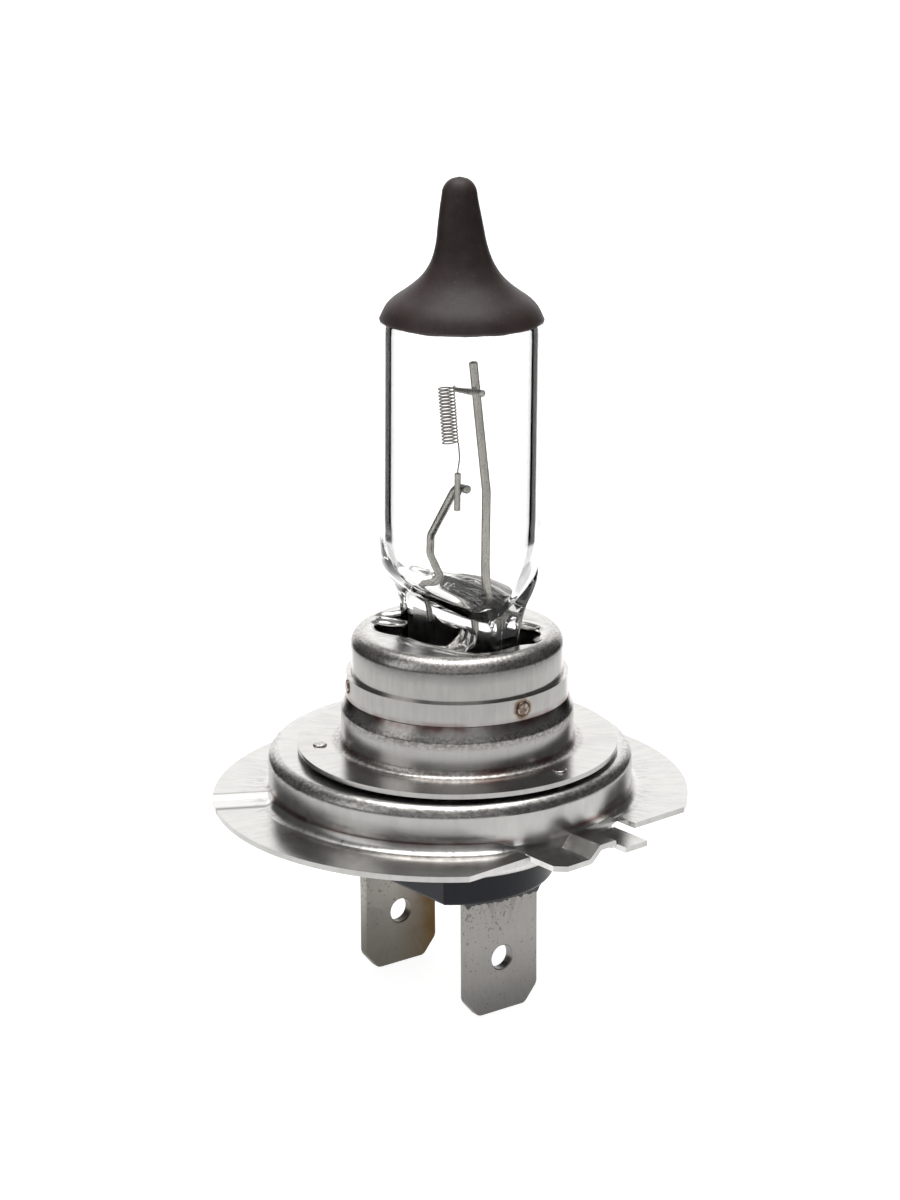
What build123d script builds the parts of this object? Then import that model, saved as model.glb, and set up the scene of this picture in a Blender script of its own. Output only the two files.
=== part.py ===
from build123d import *
from math import cos, radians, sin, sqrt
import os

os.makedirs("parts", exist_ok=True)

# Headlight bulb: a single-filament halogen burner welded into a 26 mm prefocus ring, with two
# blade terminals. Millimetres. +Z runs up the lamp axis, and the plug comes from -Z. The origin
# is on the ring's axis at the flange's upper face. The locating tongue points to -Y.

# Prefocus ring: drum, flange and tongue pressed from one sheet
drum_radius = 13.0
drum_height = 3.75
drum_rim_radius = 0.8
drum_opening_radius = 9.3
flange_top = 0.4
drum_root_top = 0.3
drum_root_flare = 0.15
flange_radius = 17.05
flange_cut_y = -13.85
ring_sheet = 0.4
rear_drop = 0.35
ramp_width = 2.24
ramp_azimuth = 148.8
tongue_left = -3.7
tongue_right = 4.4
tongue_end_y = -16.0
tongue_drop = 0.45
tongue_rib_height = 0.35
tongue_rib_left = -0.05
tongue_rib_right = 1.35
tongue_rib_slope = 0.9
tongue_bend_radius = 0.15
tongue_notch = 0.8
tongue_end_slot_x = 1.9
tongue_end_slot_width = 0.9
tongue_end_slot_depth = 1.3
tongue_corner_cut = 1.0

# Focus collar: the disc, bulge and band that carry the burner and set its focus on the ring
focus_shift = 0.84
collar_sheet = 0.35
collar_disc_radius = 11.4
disc_gap = 0.3
collar_disc_top = drum_height + disc_gap + collar_sheet
collar_bulge_radius = 8.27
collar_bulge_top = 6.95
collar_band_radius = 7.89
collar_band_bottom = 7.95
collar_top = 9.6
collar_bend_radii = [0.55, 0.5, 0.4]

# Pinch cup: the inner metal cup that grips the quartz
cup_radius = 7.52
cup_sheet = 0.33
cup_top = 12.65
cup_bottom = 4.6
cup_corner_radius = 1.0
cup_opening_length = 12.6
cup_opening_width = 6.4
cup_opening_corner = 1.4
clamp_tongue_width = 4.8
clamp_tongue_depth = 2.2
clamp_tongue_grip = 1.2
clamp_tongue_bend = 0.5
clamp_tongue_y = -1.34
clamp_gap = 0.05

# Quartz burner, built on its own slightly leaning axis
quartz_shift = 0.15
quartz_lean = 0.7
lean_azimuth = -40.0
quartz_radius = 5.65
quartz_wall = 0.8
shoulder_top = 18.05
shoulder_bottom = 14.9
pinch_width = 10.2
pinch_thickness = 2.8
pinch_bottom = 5.2
scoop_outline = [(2.3, 15.5), (4.9, 17.4), (6.85, 20.05)]
dome_start = 34.4
dome_outline = [(5.33, 35.6), (4.35, 36.55), (2.62, 38.05)]
neck_start = 40.6
neck_radius = 1.62
neck_slope = -0.12
cavity_floor = 15.9
floor_radius = 5.0
floor_angle = 37.0
bore_start = 19.55
cavity_dome = (3.3, 36.5)
cavity_top = 40.0
throat_radius = 0.6
tip_radius = 1.18
tip_top = 44.75
coating_start = 34.85
coating_thickness = 0.06

# Filament and its supports
coil_centre_z = 28.0
coil_length = 4.1
coil_turns = 16
coil_radius = 0.56
coil_lean = -4.0
filament_radius = 0.06
post_radius = 0.3
post_spacing = 5.8
post_bottom = 12.4
long_bend_z = 23.2
long_top = (-1.2, 32.3)
short_outline = [(2.9, 15.4), (3.25, 17.3), (3.2, 18.4), (0.35, 22.75), (-0.9, 22.75)]
long_bend_radius = 1.2
short_bend_radii = [0.9, 1.0, 1.2, 0.6]
sleeve_radius = 0.22
upper_sleeve_in = (0.25, 30.0)
upper_sleeve_out = (-2.95, 30.1)
lower_sleeve_top = (-0.32, 23.95)
lower_sleeve_bottom = (-0.3, 21.2)
sleeve_gap = 0.01
sleeve_weld_places = [(-1.62, 30.07), (-0.31, 22.75)]
sleeve_weld_height = 0.08
foil_width = 2.4
foil_thickness = 0.05
foil_top = 13.6
foil_bottom = 6.9
weld_overlap = 1.2
lead_radius = 0.3
lead_bend_top = 4.2
lead_bend_bottom = 2.4
lead_bottom = -0.4
lead_bend_radius = 0.9

# Base: sleeve, insulator and blades
base_sleeve_radius = 9.0
base_sheet = 0.4
base_sleeve_bottom = -3.25
base_flange_z = drum_height - ring_sheet - base_sheet
insulator_radius = 7.5
insulator_flat = 5.2
insulator_bottom = -5.75
insulator_top = -1.0
insulator_edge_radius = 0.35
fitting_gap = 0.15
lip_gap = 0.1
base_bend_radius = 0.5
blade_width = 6.3
blade_thickness = 0.8
blade_spacing = 11.4
blade_x = -0.3
blade_turn = -4.0
blade_tip_z = -14.85
blade_chamfer = 1.1
blade_chamfer_height = 1.32
blade_hole_radius = 0.9
blade_hole_z = -10.75
blade_shoulder_z = -3.6
blade_tail_top = 1.6
blade_tail_width = 2.2
sealant_margin = 0.3
sealant_height = 0.45
sealant_corner = 0.4

# Spot welds
disc_weld_radius = 9.85
disc_weld_first = -84.0
disc_weld_step = 116.0
band_weld_first = -95.0
band_weld_step = 123.3
band_weld_z = 8.85
base_weld_radius = 10.6
base_weld_first = 30.0
lead_weld_radius = 0.48
lead_weld_bottom = 0.2
lead_weld_height = 0.5
weld_nugget_radius = 0.5
weld_nugget_height = 0.12
weld_foot_radius = 0.45

# The leaning burner and the shifted collar have planes of their own.
lean = Vector(1, 0, 0).rotate(Axis.Z, lean_azimuth)
burner_up = Vector(0, 0, 1).rotate(Axis((0, 0, 0), Vector(0, 0, 1).cross(lean)), quartz_lean)
cup_centre = Vector(0, -focus_shift, 0)
burner_foot = cup_centre + lean * (quartz_shift - cup_top * sin(radians(quartz_lean)))
FOCUS = Plane(origin=cup_centre, x_dir=(1, 0, 0), z_dir=(0, 0, 1))
FOCUS_SIDE = Plane(origin=cup_centre, x_dir=(1, 0, 0), z_dir=(0, -1, 0))
FOCUS_AXIS = Axis(cup_centre, (0, 0, 1))
BURNER = Plane(origin=burner_foot, x_dir=Vector(1, 0, 0) - burner_up * burner_up.X, z_dir=burner_up)
BURNER_SIDE = Plane(origin=burner_foot, x_dir=BURNER.x_dir, z_dir=-BURNER.y_dir)
BURNER_AXIS = Axis(burner_foot, burner_up)
WIRES = Plane(origin=burner_foot, x_dir=BURNER.y_dir, z_dir=BURNER.x_dir)


def finish(part, name):
    """Write a finished piece to its own file, with the origin on the flange's upper face."""
    placed = part.moved(Location((0, 0, -flange_top)))
    placed.label = name
    export_step(placed, f"parts/{name}.step")


def sheet_profile(points, radii, thickness):
    """Face of a bent sheet whose outer side follows the points, thickness to the left of them."""
    with BuildSketch() as face:
        with BuildLine():
            outer = FilletPolyline(*points, radius=radii)
            inner = offset(outer, amount=thickness, side=Side.LEFT, closed=False, mode=Mode.PRIVATE)
            add(inner)
            ends = [outer @ 0, outer @ 1]
            for end in ends:
                nearest = min([inner.wire() @ 0, inner.wire() @ 1], key=lambda p: (p - end).length)
                Line(end, nearest)
        make_face()
    return face.sketch


def burner_outline(grow):
    """Half outline of the burner above its shoulder, every radius larger by grow."""
    dome_points = [(r + grow, z) for r, z in dome_outline]
    with BuildSketch() as face:
        with BuildLine():
            Line((0, shoulder_top), (quartz_radius + grow, shoulder_top))
            wall = Line((quartz_radius + grow, shoulder_top), (quartz_radius + grow, dome_start))
            dome = Spline(wall @ 1, *dome_points, (neck_radius + grow, neck_start),
                          tangents=((0, 1), (neck_slope, 1)))
            neck = Line(dome @ 1, (tip_radius + grow, tip_top - tip_radius))
            tip = RadiusArc(neck @ 1, (0, tip_top + grow), -(tip_radius + grow))
            Line(tip @ 1, (0, shoulder_top))
        make_face()
    return face.sketch


# --- Prefocus ring -----------------------------------------------------------------------------

def rear_region(gap):
    """The rear part of the flange, set back by gap from the fold lines, as a large polygon."""
    along = Vector(1, 0, 0).rotate(Axis.Z, ramp_azimuth)
    reach = 2 * flange_radius
    left = along * reach + Vector(0, gap / cos(radians(180 - ramp_azimuth)), 0)
    apex = Vector(0, left.Y - left.X * along.Y / along.X, 0)
    with BuildSketch() as region:
        with BuildLine():
            Polyline(apex, left, (left.X, reach * 2), (-left.X, reach * 2), (-left.X, left.Y), close=True)
        make_face()
    return region.sketch


def tongue_region(margin):
    """The strip of the flange that holds the tongue, wider by margin on each side."""
    with BuildSketch() as region:
        with Locations(((tongue_left + tongue_right) / 2, -drum_radius - ring_sheet)):
            Rectangle(tongue_right - tongue_left + 2 * margin, 4 * tongue_notch)
    return region.sketch


def drum_root(depth):
    """The drum's wall where it flares into the flange, down to a depth below the flange's face."""
    inside = drum_radius - ring_sheet
    with BuildPart() as band:
        with BuildSketch(Plane.XZ):
            with BuildLine():
                Polyline((inside, drum_root_top), (drum_radius, drum_root_top),
                         (drum_radius + drum_root_flare * (depth + drum_root_top), -depth), (inside, -depth),
                         close=True)
            make_face()
        revolve(axis=Axis.Z)
    return band.part


def plate(depth, height, region):
    """Flat plate with its underside at a depth below the flange's face."""
    with BuildPart() as flat:
        with BuildSketch(Plane.XY.offset(-depth)):
            add(region)
        extrude(amount=height)
    return flat.part


with BuildSketch() as annulus:
    Circle(flange_radius)
    Circle(drum_radius - ring_sheet, mode=Mode.SUBTRACT)

with BuildSketch() as front_flange:
    add(annulus.sketch)
    add(rear_region(0), mode=Mode.SUBTRACT)
    add(tongue_region(tongue_notch), mode=Mode.SUBTRACT)
    with Locations((0, flange_cut_y - flange_radius)):
        Rectangle(2 * flange_radius, 2 * flange_radius, mode=Mode.SUBTRACT)

with BuildSketch() as rear_flange:
    add(annulus.sketch)
    add(rear_region(ramp_width), mode=Mode.INTERSECT)

rear_depth = ring_sheet + rear_drop
tongue_depth = ring_sheet + tongue_drop
fold = Vector(1, 0, 0).rotate(Axis.Z, ramp_azimuth)
fold_across = Vector(1, 0, 0).rotate(Axis.Z, ramp_azimuth - 90)

with BuildPart() as flange_ramps:
    with BuildSketch(Plane(origin=(0, 0, 0), x_dir=fold_across, z_dir=-fold)):
        with BuildLine():
            Polyline((0, 0), (0, -ring_sheet), (ramp_width, -rear_depth), (ramp_width, -rear_drop),
                     close=True)
        make_face()
    extrude(amount=-2 * flange_radius)
    mirror(about=Plane.YZ)
    add(plate(rear_depth, rear_depth, annulus.sketch), mode=Mode.INTERSECT)

with BuildPart() as rear_root:
    add(drum_root(rear_depth))
    add(plate(rear_depth, rear_depth, rear_region(0)), mode=Mode.INTERSECT)

with BuildPart() as tongue_root:
    add(drum_root(tongue_depth))
    add(plate(tongue_depth, tongue_depth, tongue_region(0)), mode=Mode.INTERSECT)

with BuildPart() as tongue:
    with BuildSketch(Plane.XZ.offset(drum_radius - ring_sheet)):
        add(sheet_profile([(tongue_right, -tongue_drop), (tongue_rib_right + tongue_rib_slope, -tongue_drop),
                           (tongue_rib_right, tongue_rib_height), (tongue_rib_left, tongue_rib_height),
                           (tongue_rib_left - tongue_rib_slope, -tongue_drop), (tongue_left, -tongue_drop)],
                          tongue_bend_radius, ring_sheet))
    extrude(amount=-tongue_end_y - drum_radius + ring_sheet)
    with BuildSketch(Plane.XY.offset(-2 * tongue_depth)):
        Circle(drum_radius - ring_sheet / 2)
        with Locations((tongue_end_slot_x, tongue_end_y)):
            Rectangle(tongue_end_slot_width, 2 * tongue_end_slot_depth)
        with Locations((tongue_left, tongue_end_y)):
            Rectangle(tongue_corner_cut, tongue_corner_cut, rotation=45)
    extrude(amount=4 * tongue_depth, mode=Mode.SUBTRACT)

with BuildPart() as prefocus_ring:
    with BuildSketch(Plane.XZ):
        add(sheet_profile([(drum_radius, flange_top + drum_root_top), (drum_radius, drum_height),
                           (drum_opening_radius, drum_height)], drum_rim_radius, ring_sheet))
    revolve(axis=Axis.Z)
    for pressed in (drum_root(ring_sheet), plate(ring_sheet, ring_sheet, front_flange.sketch),
                    plate(rear_depth, ring_sheet, rear_flange.sketch), flange_ramps.part, rear_root.part,
                    tongue_root.part, tongue.part):
        add(pressed.moved(Location((0, 0, flange_top))))
finish(prefocus_ring.part, "prefocus_ring")

# --- Collar and cup ----------------------------------------------------------------------------

clamp_face = pinch_thickness / 2 + clamp_gap + cup_sheet

with BuildPart() as pinch_cup:
    with BuildSketch(FOCUS_SIDE):
        add(sheet_profile([(cup_radius, cup_bottom), (cup_radius, cup_top), (0, cup_top)],
                          cup_corner_radius, cup_sheet))
    revolve(axis=FOCUS_AXIS)
    with BuildSketch(FOCUS.offset(cup_top - 2 * cup_sheet)):
        RectangleRounded(cup_opening_width, cup_opening_length, cup_opening_corner)
    extrude(amount=3 * cup_sheet, mode=Mode.SUBTRACT)
    with BuildSketch(Plane.XZ.offset(-clamp_tongue_y)):
        add(sheet_profile([(cup_opening_width / 2 + clamp_tongue_bend, cup_top),
                           (cup_opening_width / 2 - clamp_tongue_bend / 2, cup_top),
                           (clamp_face, cup_top - clamp_tongue_depth),
                           (clamp_face, cup_top - clamp_tongue_depth - clamp_tongue_grip)],
                          clamp_tongue_bend, cup_sheet))
        mirror(about=Plane.YZ)
    extrude(amount=clamp_tongue_width / 2, both=True)
finish(pinch_cup.part, "pinch_cup")

with BuildPart() as focus_collar:
    with BuildSketch(FOCUS_SIDE):
        add(sheet_profile([(collar_disc_radius, collar_disc_top), (collar_bulge_radius, collar_disc_top),
                           (collar_bulge_radius, collar_bulge_top), (collar_band_radius, collar_band_bottom),
                           (collar_band_radius, collar_top)], collar_bend_radii, collar_sheet))
    revolve(axis=FOCUS_AXIS)
finish(focus_collar.part, "focus_collar")

# --- Quartz burner -----------------------------------------------------------------------------

post_y = post_spacing / 2
coil_foot = Vector(0, 0, coil_centre_z - coil_length / 2)
coil_up = Vector(0, 0, 1).rotate(Axis((0, 0, 0), Vector(0, 0, 1).cross(lean)), coil_lean)
COIL = Plane(origin=coil_foot, x_dir=lean - coil_up * coil_up.dot(lean), z_dir=coil_up)


def in_wires(y, z, out=0.0):
    """The point at y along and z up the plane of the support wires, out from it towards -X."""
    return WIRES.from_local_coords((y, z, -out))


def wire(path, radius):
    """Round wire along a path."""
    with BuildPart() as piece:
        with BuildSketch(Plane(origin=path @ 0, z_dir=path % 0)):
            Circle(radius)
        sweep(path=path)
    return piece.part


def bent_path(points, radii):
    """Path in the plane of the support wires with rounded bends."""
    with BuildLine(WIRES) as path:
        FilletPolyline(*points, radius=radii)
    return path.wire()


with BuildPart() as foil_sheet:
    with BuildSketch(BURNER.offset(foil_bottom)):
        with Locations((0, -post_y), (0, post_y)):
            Rectangle(foil_thickness, foil_width)
    extrude(amount=foil_top - foil_bottom)

with BuildPart() as weld_flats:
    for bottom, top in ((post_bottom, foil_top), (foil_bottom, foil_bottom + weld_overlap)):
        with BuildSketch(BURNER.offset(bottom)):
            with Locations((post_radius - foil_thickness / 2, 0)):
                Rectangle(2 * post_radius, 2 * pinch_width)
        extrude(amount=top - bottom)

long_route = [(-post_y, post_bottom), (-post_y, long_bend_z), long_top]
short_route = [(post_y, post_bottom), *short_outline]

with BuildPart() as long_support_post:
    add(wire(bent_path(long_route, long_bend_radius), post_radius))
    add(weld_flats.part, mode=Mode.SUBTRACT)
finish(long_support_post.part, "long_support_post")

with BuildPart() as short_support_post:
    add(wire(bent_path(short_route, short_bend_radii), post_radius))
    add(weld_flats.part, mode=Mode.SUBTRACT)
finish(short_support_post.part, "short_support_post")

lead_end_y = blade_spacing / 2 - blade_thickness / 2 - lead_radius
outer_leads = []
for side, sign in (("long", -1), ("short", 1)):
    end_y = sign * lead_end_y + focus_shift
    with BuildPart() as foil:
        add(foil_sheet.part.solids().sort_by(Axis.Y)[0 if sign < 0 else -1])
    finish(foil.part, f"{side}_post_foil")
    lead_route = [(sign * post_y, foil_bottom + weld_overlap), (sign * post_y, lead_bend_top),
                  (end_y, lead_bend_bottom), (end_y, lead_bottom)]
    with BuildPart() as lead:
        add(wire(bent_path(lead_route, lead_bend_radius), lead_radius))
        add(weld_flats.part, mode=Mode.SUBTRACT)
    outer_leads.append(lead.part)
    finish(lead.part, f"{side}_post_lead")

bore_radius = quartz_radius - quartz_wall

with BuildPart() as quartz_envelope:
    with BuildSketch(BURNER_SIDE):
        add(burner_outline(0))
    revolve(axis=BURNER_AXIS)
    with BuildSketch(BURNER_SIDE):
        with BuildLine():
            heel = Line((0, pinch_bottom), (pinch_width / 2, pinch_bottom))
            edge = Line(heel @ 1, (pinch_width / 2, shoulder_bottom))
            hip = Spline(edge @ 1, (quartz_radius, shoulder_top), tangents=((0, 1), (0, 1)))
            Polyline(hip @ 1, (0, shoulder_top), heel @ 0)
        make_face()
    revolve(axis=BURNER_AXIS)
    with BuildSketch(BURNER_SIDE):
        with BuildLine():
            face = Line((pinch_thickness / 2, 0), (pinch_thickness / 2, shoulder_bottom - 1))
            scoop = Spline(face @ 1, *scoop_outline, tangents=((0, 1), (0.15, 1)))
            far_top = Vector(3 * quartz_radius, (scoop @ 1).Y)
            Polyline(scoop @ 1, far_top, (far_top.X, 0), face @ 0)
        make_face()
        mirror(about=Plane.YZ)
    extrude(amount=2 * quartz_radius, both=True, mode=Mode.SUBTRACT)
    with BuildSketch(BURNER_SIDE):
        with BuildLine():
            floor = CenterArc((0, cavity_floor + floor_radius), floor_radius, -90, floor_angle)
            heel = Spline(floor @ 1, (bore_radius, bore_start), tangents=(floor % 1, (0, 1)))
            bore = Line(heel @ 1, (bore_radius, dome_start))
            roof = Spline(bore @ 1, cavity_dome, (throat_radius, cavity_top - throat_radius),
                          tangents=((0, 1), (0, 1)))
            end = CenterArc((0, cavity_top - throat_radius), throat_radius, 0, 90)
            Line(end @ 1, floor @ 0)
        make_face()
    revolve(axis=BURNER_AXIS, mode=Mode.SUBTRACT)
    for inner in (long_support_post, short_support_post, foil_sheet):
        add(inner.part, mode=Mode.SUBTRACT)
    for sign in (-1, 1):
        with BuildSketch(BURNER.offset(foil_bottom + weld_overlap)):
            with Locations((0, sign * post_y)):
                Circle(lead_radius)
        extrude(amount=-foil_bottom, mode=Mode.SUBTRACT)
finish(quartz_envelope.part, "quartz_envelope")

with BuildPart() as antiglare_cap:
    with BuildSketch(BURNER_SIDE):
        add(burner_outline(coating_thickness))
        add(burner_outline(0), mode=Mode.SUBTRACT)
        with Locations((0, coating_start / 2)):
            Rectangle(4 * quartz_radius, coating_start, mode=Mode.SUBTRACT)
    revolve(axis=BURNER_AXIS)
finish(antiglare_cap.part, "antiglare_cap")

# --- Filament ----------------------------------------------------------------------------------

beside_post = post_radius + sleeve_radius
upper_sleeve_start = in_wires(*upper_sleeve_in, beside_post)
upper_sleeve_end = in_wires(*upper_sleeve_out, beside_post + 0.2 * sleeve_radius)
lower_sleeve_start = in_wires(*lower_sleeve_top, beside_post + sleeve_gap)
lower_sleeve_end = in_wires(*lower_sleeve_bottom, beside_post + sleeve_gap)
upper_sleeve_way = upper_sleeve_end - upper_sleeve_start
lower_leg_start = lower_sleeve_start - Vector(0, 0, 1)

with BuildPart() as filament_coil:
    with BuildLine() as coil_path:
        turns = Helix(coil_length / coil_turns, coil_length, coil_radius, center=coil_foot, direction=coil_up)
        upper_leg = Spline(turns @ 1, upper_sleeve_start, upper_sleeve_start + upper_sleeve_way / 3,
                           tangents=(turns % 1, upper_sleeve_way))
        lower_leg = Spline(lower_leg_start, lower_sleeve_start, turns @ 0,
                           tangents=(Vector(0, 0, 1), turns % 0))
    with BuildSketch(Plane(origin=lower_leg @ 0, z_dir=lower_leg % 0)):
        Circle(filament_radius)
    sweep(path=coil_path.wire(), is_frenet=False)
finish(filament_coil.part, "filament_coil")


def tapered_sleeve(start, end, start_radius, end_radius, name):
    """Crimped sleeve between two points, bored out where the filament's leg enters it."""
    axis = end - start
    with BuildPart() as sleeve:
        with BuildSketch(Plane(origin=start, z_dir=axis)):
            Circle(start_radius)
        with BuildSketch(Plane(origin=end, z_dir=axis)):
            Circle(end_radius)
        loft()
        add(filament_coil.part, mode=Mode.SUBTRACT)
    finish(sleeve.part, name)
    return sleeve.part


upper_sleeve = tapered_sleeve(upper_sleeve_start, upper_sleeve_end, 0.7 * sleeve_radius, 1.15 * sleeve_radius,
                              "filament_upper_sleeve")
lower_sleeve = tapered_sleeve(lower_sleeve_start, lower_sleeve_end, sleeve_radius, sleeve_radius,
                              "filament_lower_sleeve")

with BuildPart() as sleeve_welds:
    for place in sleeve_weld_places:
        spot = in_wires(*place, post_radius - sleeve_weld_height / 2)
        with BuildSketch(Plane(origin=spot, z_dir=-WIRES.z_dir)):
            Circle(0.8 * sleeve_radius)
        extrude(amount=sleeve_weld_height)
    for neighbour in (upper_sleeve, lower_sleeve, long_support_post.part, short_support_post.part):
        add(neighbour, mode=Mode.SUBTRACT)
finish(sleeve_welds.part, "sleeve_welds")

# --- Base --------------------------------------------------------------------------------------

with BuildPart() as base_sleeve:
    with BuildSketch(Plane.XZ):
        add(sheet_profile([(insulator_radius + lip_gap, base_sleeve_bottom),
                           (base_sleeve_radius, base_sleeve_bottom), (base_sleeve_radius, base_flange_z),
                           (drum_radius - ring_sheet - drum_rim_radius, base_flange_z)],
                          base_bend_radius, base_sheet))
    revolve(axis=Axis.Z)
finish(base_sleeve.part, "base_sleeve")


blade_along = Vector(1, 0, 0).rotate(Axis.Z, blade_turn)
blade_across = Vector(0, -1, 0).rotate(Axis.Z, blade_turn)


def blade(sign):
    """Blade terminal with its detent hole, chamfered tip and narrow weld tail."""
    plane = Plane(origin=(blade_x, sign * blade_spacing / 2, 0), x_dir=blade_along, z_dir=blade_across)
    half = blade_width / 2
    tail = blade_tail_width / 2
    chamfer_top = blade_tip_z + blade_chamfer_height
    with BuildPart() as piece:
        with BuildSketch(plane):
            with BuildLine():
                Polyline((0, blade_tip_z), (half - blade_chamfer, blade_tip_z), (half, chamfer_top),
                         (half, blade_shoulder_z), (tail, blade_shoulder_z), (tail, blade_tail_top),
                         (0, blade_tail_top), close=True)
            make_face()
            mirror(about=Plane.YZ)
            with Locations((0, blade_hole_z)):
                Circle(blade_hole_radius, mode=Mode.SUBTRACT)
        extrude(amount=blade_thickness / 2, both=True)
    return piece.part


blade_front = blade(-1)
blade_rear = blade(1)
finish(blade_front, "blade_front")
finish(blade_rear, "blade_rear")

with BuildPart() as insulator:
    with BuildSketch(Plane.XY.offset(insulator_bottom)):
        Circle(insulator_radius)
        Rectangle(2 * insulator_flat, 2 * insulator_radius, mode=Mode.INTERSECT)
    extrude(amount=base_sleeve_bottom - insulator_bottom)
    fillet(insulator.faces().sort_by(Axis.Z)[0].edges(), insulator_edge_radius)
    with BuildSketch(Plane.XY.offset(base_sleeve_bottom)):
        Circle(insulator_radius)
    extrude(amount=base_sheet)
    with BuildSketch(Plane.XY.offset(base_sleeve_bottom + base_sheet)):
        Circle(base_sleeve_radius - base_sheet - fitting_gap)
    extrude(amount=insulator_top - base_sleeve_bottom - base_sheet)
    add(blade_front, mode=Mode.SUBTRACT)
    add(blade_rear, mode=Mode.SUBTRACT)
finish(insulator.part, "insulator")

with BuildPart() as blade_sealant:
    for sign in (-1, 1):
        with BuildSketch(Plane.XY.offset(insulator_bottom)):
            with Locations((blade_x, sign * blade_spacing / 2)):
                RectangleRounded(blade_width + 2 * sealant_margin, blade_thickness + 2 * sealant_margin,
                                 sealant_corner, rotation=blade_turn)
    extrude(amount=-sealant_height)
    add(blade_front, mode=Mode.SUBTRACT)
    add(blade_rear, mode=Mode.SUBTRACT)
finish(blade_sealant.part, "blade_sealant")

# --- Spot welds --------------------------------------------------------------------------------


def nugget(plane):
    """Low domed weld nugget standing on a plane."""
    with BuildPart() as dome:
        with BuildSketch(plane):
            Circle(weld_nugget_radius)
        extrude(amount=weld_nugget_height)
        fillet(dome.faces().sort_by(Axis(plane.origin, plane.z_dir))[-1].edges(), 0.8 * weld_nugget_height)
    return dome.part


with BuildPart() as disc_welds:
    for count in range(3):
        out = Vector(disc_weld_radius, 0, collar_disc_top)
        spot = cup_centre + out.rotate(Axis.Z, disc_weld_first + count * disc_weld_step)
        add(nugget(Plane(origin=spot, z_dir=(0, 0, 1))))
        with BuildSketch(Plane(origin=(spot.X, spot.Y, drum_height), z_dir=(0, 0, 1))):
            Circle(weld_foot_radius)
        extrude(amount=disc_gap)
finish(disc_welds.part, "disc_welds")

with BuildPart() as band_welds:
    for count in range(3):
        away = Vector(1, 0, 0).rotate(Axis.Z, band_weld_first + count * band_weld_step)
        chord_depth = collar_band_radius - sqrt(collar_band_radius**2 - weld_nugget_radius**2)
        spot = cup_centre + away * (collar_band_radius - chord_depth) + Vector(0, 0, band_weld_z)
        add(nugget(Plane(origin=spot, z_dir=away)))
    with BuildSketch(FOCUS.offset(collar_band_bottom)):
        Circle(collar_band_radius)
    extrude(amount=collar_top - collar_band_bottom, mode=Mode.SUBTRACT)
finish(band_welds.part, "band_welds")

with BuildPart() as lead_welds:
    for sign in (-1, 1):
        with BuildSketch(Plane.XY.offset(lead_weld_bottom)):
            with Locations((0, sign * lead_end_y)):
                Circle(lead_weld_radius)
        extrude(amount=lead_weld_height)
        for neighbour in (blade_front, blade_rear, *outer_leads):
            add(neighbour, mode=Mode.SUBTRACT)
finish(lead_welds.part, "lead_welds")

with BuildPart() as base_welds:
    for count in range(3):
        spot = Vector(base_weld_radius, 0, base_flange_z).rotate(Axis.Z, base_weld_first + 120 * count)
        add(nugget(Plane(origin=spot, z_dir=(0, 0, -1))))
finish(base_welds.part, "base_welds")
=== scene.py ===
from math import atan2, copysign, cos, degrees, exp, hypot, pi, radians, sin, sqrt, tan

import bpy
import numpy as np
from mathutils import Matrix, Vector, noise

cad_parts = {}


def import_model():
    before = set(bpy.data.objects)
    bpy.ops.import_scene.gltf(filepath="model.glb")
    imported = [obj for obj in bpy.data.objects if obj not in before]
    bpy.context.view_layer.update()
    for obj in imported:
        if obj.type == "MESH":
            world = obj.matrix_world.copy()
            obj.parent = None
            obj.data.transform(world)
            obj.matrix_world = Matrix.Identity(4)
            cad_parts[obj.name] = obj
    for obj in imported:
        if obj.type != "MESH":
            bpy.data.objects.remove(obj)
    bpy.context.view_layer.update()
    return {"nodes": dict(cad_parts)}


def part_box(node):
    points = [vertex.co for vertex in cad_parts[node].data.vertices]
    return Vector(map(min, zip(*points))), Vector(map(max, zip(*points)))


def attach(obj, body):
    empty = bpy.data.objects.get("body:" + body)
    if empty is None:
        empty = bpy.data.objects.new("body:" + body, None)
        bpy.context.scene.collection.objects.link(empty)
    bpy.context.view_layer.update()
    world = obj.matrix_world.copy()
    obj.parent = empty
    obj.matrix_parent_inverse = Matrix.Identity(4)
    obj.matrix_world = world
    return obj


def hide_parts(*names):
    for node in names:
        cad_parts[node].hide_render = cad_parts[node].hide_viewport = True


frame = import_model()
NODES = frame["nodes"]
MM = 0.001

# --- Sizes and places, in millimetres -----------------------------------------
# The burner leans a little on the cap, and the cap's collar is shifted towards the tongue.
LEAN = radians(0.7)
LEAN_AZIMUTH = radians(-40)
PHOTO_AZIMUTH = radians(-130)
PHOTO_ELEVATION = radians(17.55)

cup_low, cup_high = [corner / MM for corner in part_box("pinch_cup")]
CUP_X, CUP_Y = (cup_low.x + cup_high.x) / 2, (cup_low.y + cup_high.y) / 2
CUP_TOP = cup_high.z
DRUM_TOP = (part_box("focus_collar")[0] / MM).z
BLADE_TIP = (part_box("blade_front")[0] / MM).z
INSULATOR_BOTTOM = (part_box("insulator")[0] / MM).z

lean_way = Vector((cos(LEAN_AZIMUTH), sin(LEAN_AZIMUTH), 0))
burner_up = (Vector((0, 0, 1)) * cos(LEAN) + lean_way * sin(LEAN)).normalized()
burner_x = (Vector((1, 0, 0)) - burner_up * burner_up.x).normalized()
burner_y = burner_up.cross(burner_x)
BURNER_SHIFT = 0.15
CUP_HEIGHT = 12.65
BASE = CUP_TOP - CUP_HEIGHT
burner_foot = Vector((CUP_X, CUP_Y, BASE)) + lean_way * (BURNER_SHIFT - CUP_HEIGHT * sin(LEAN))

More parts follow.
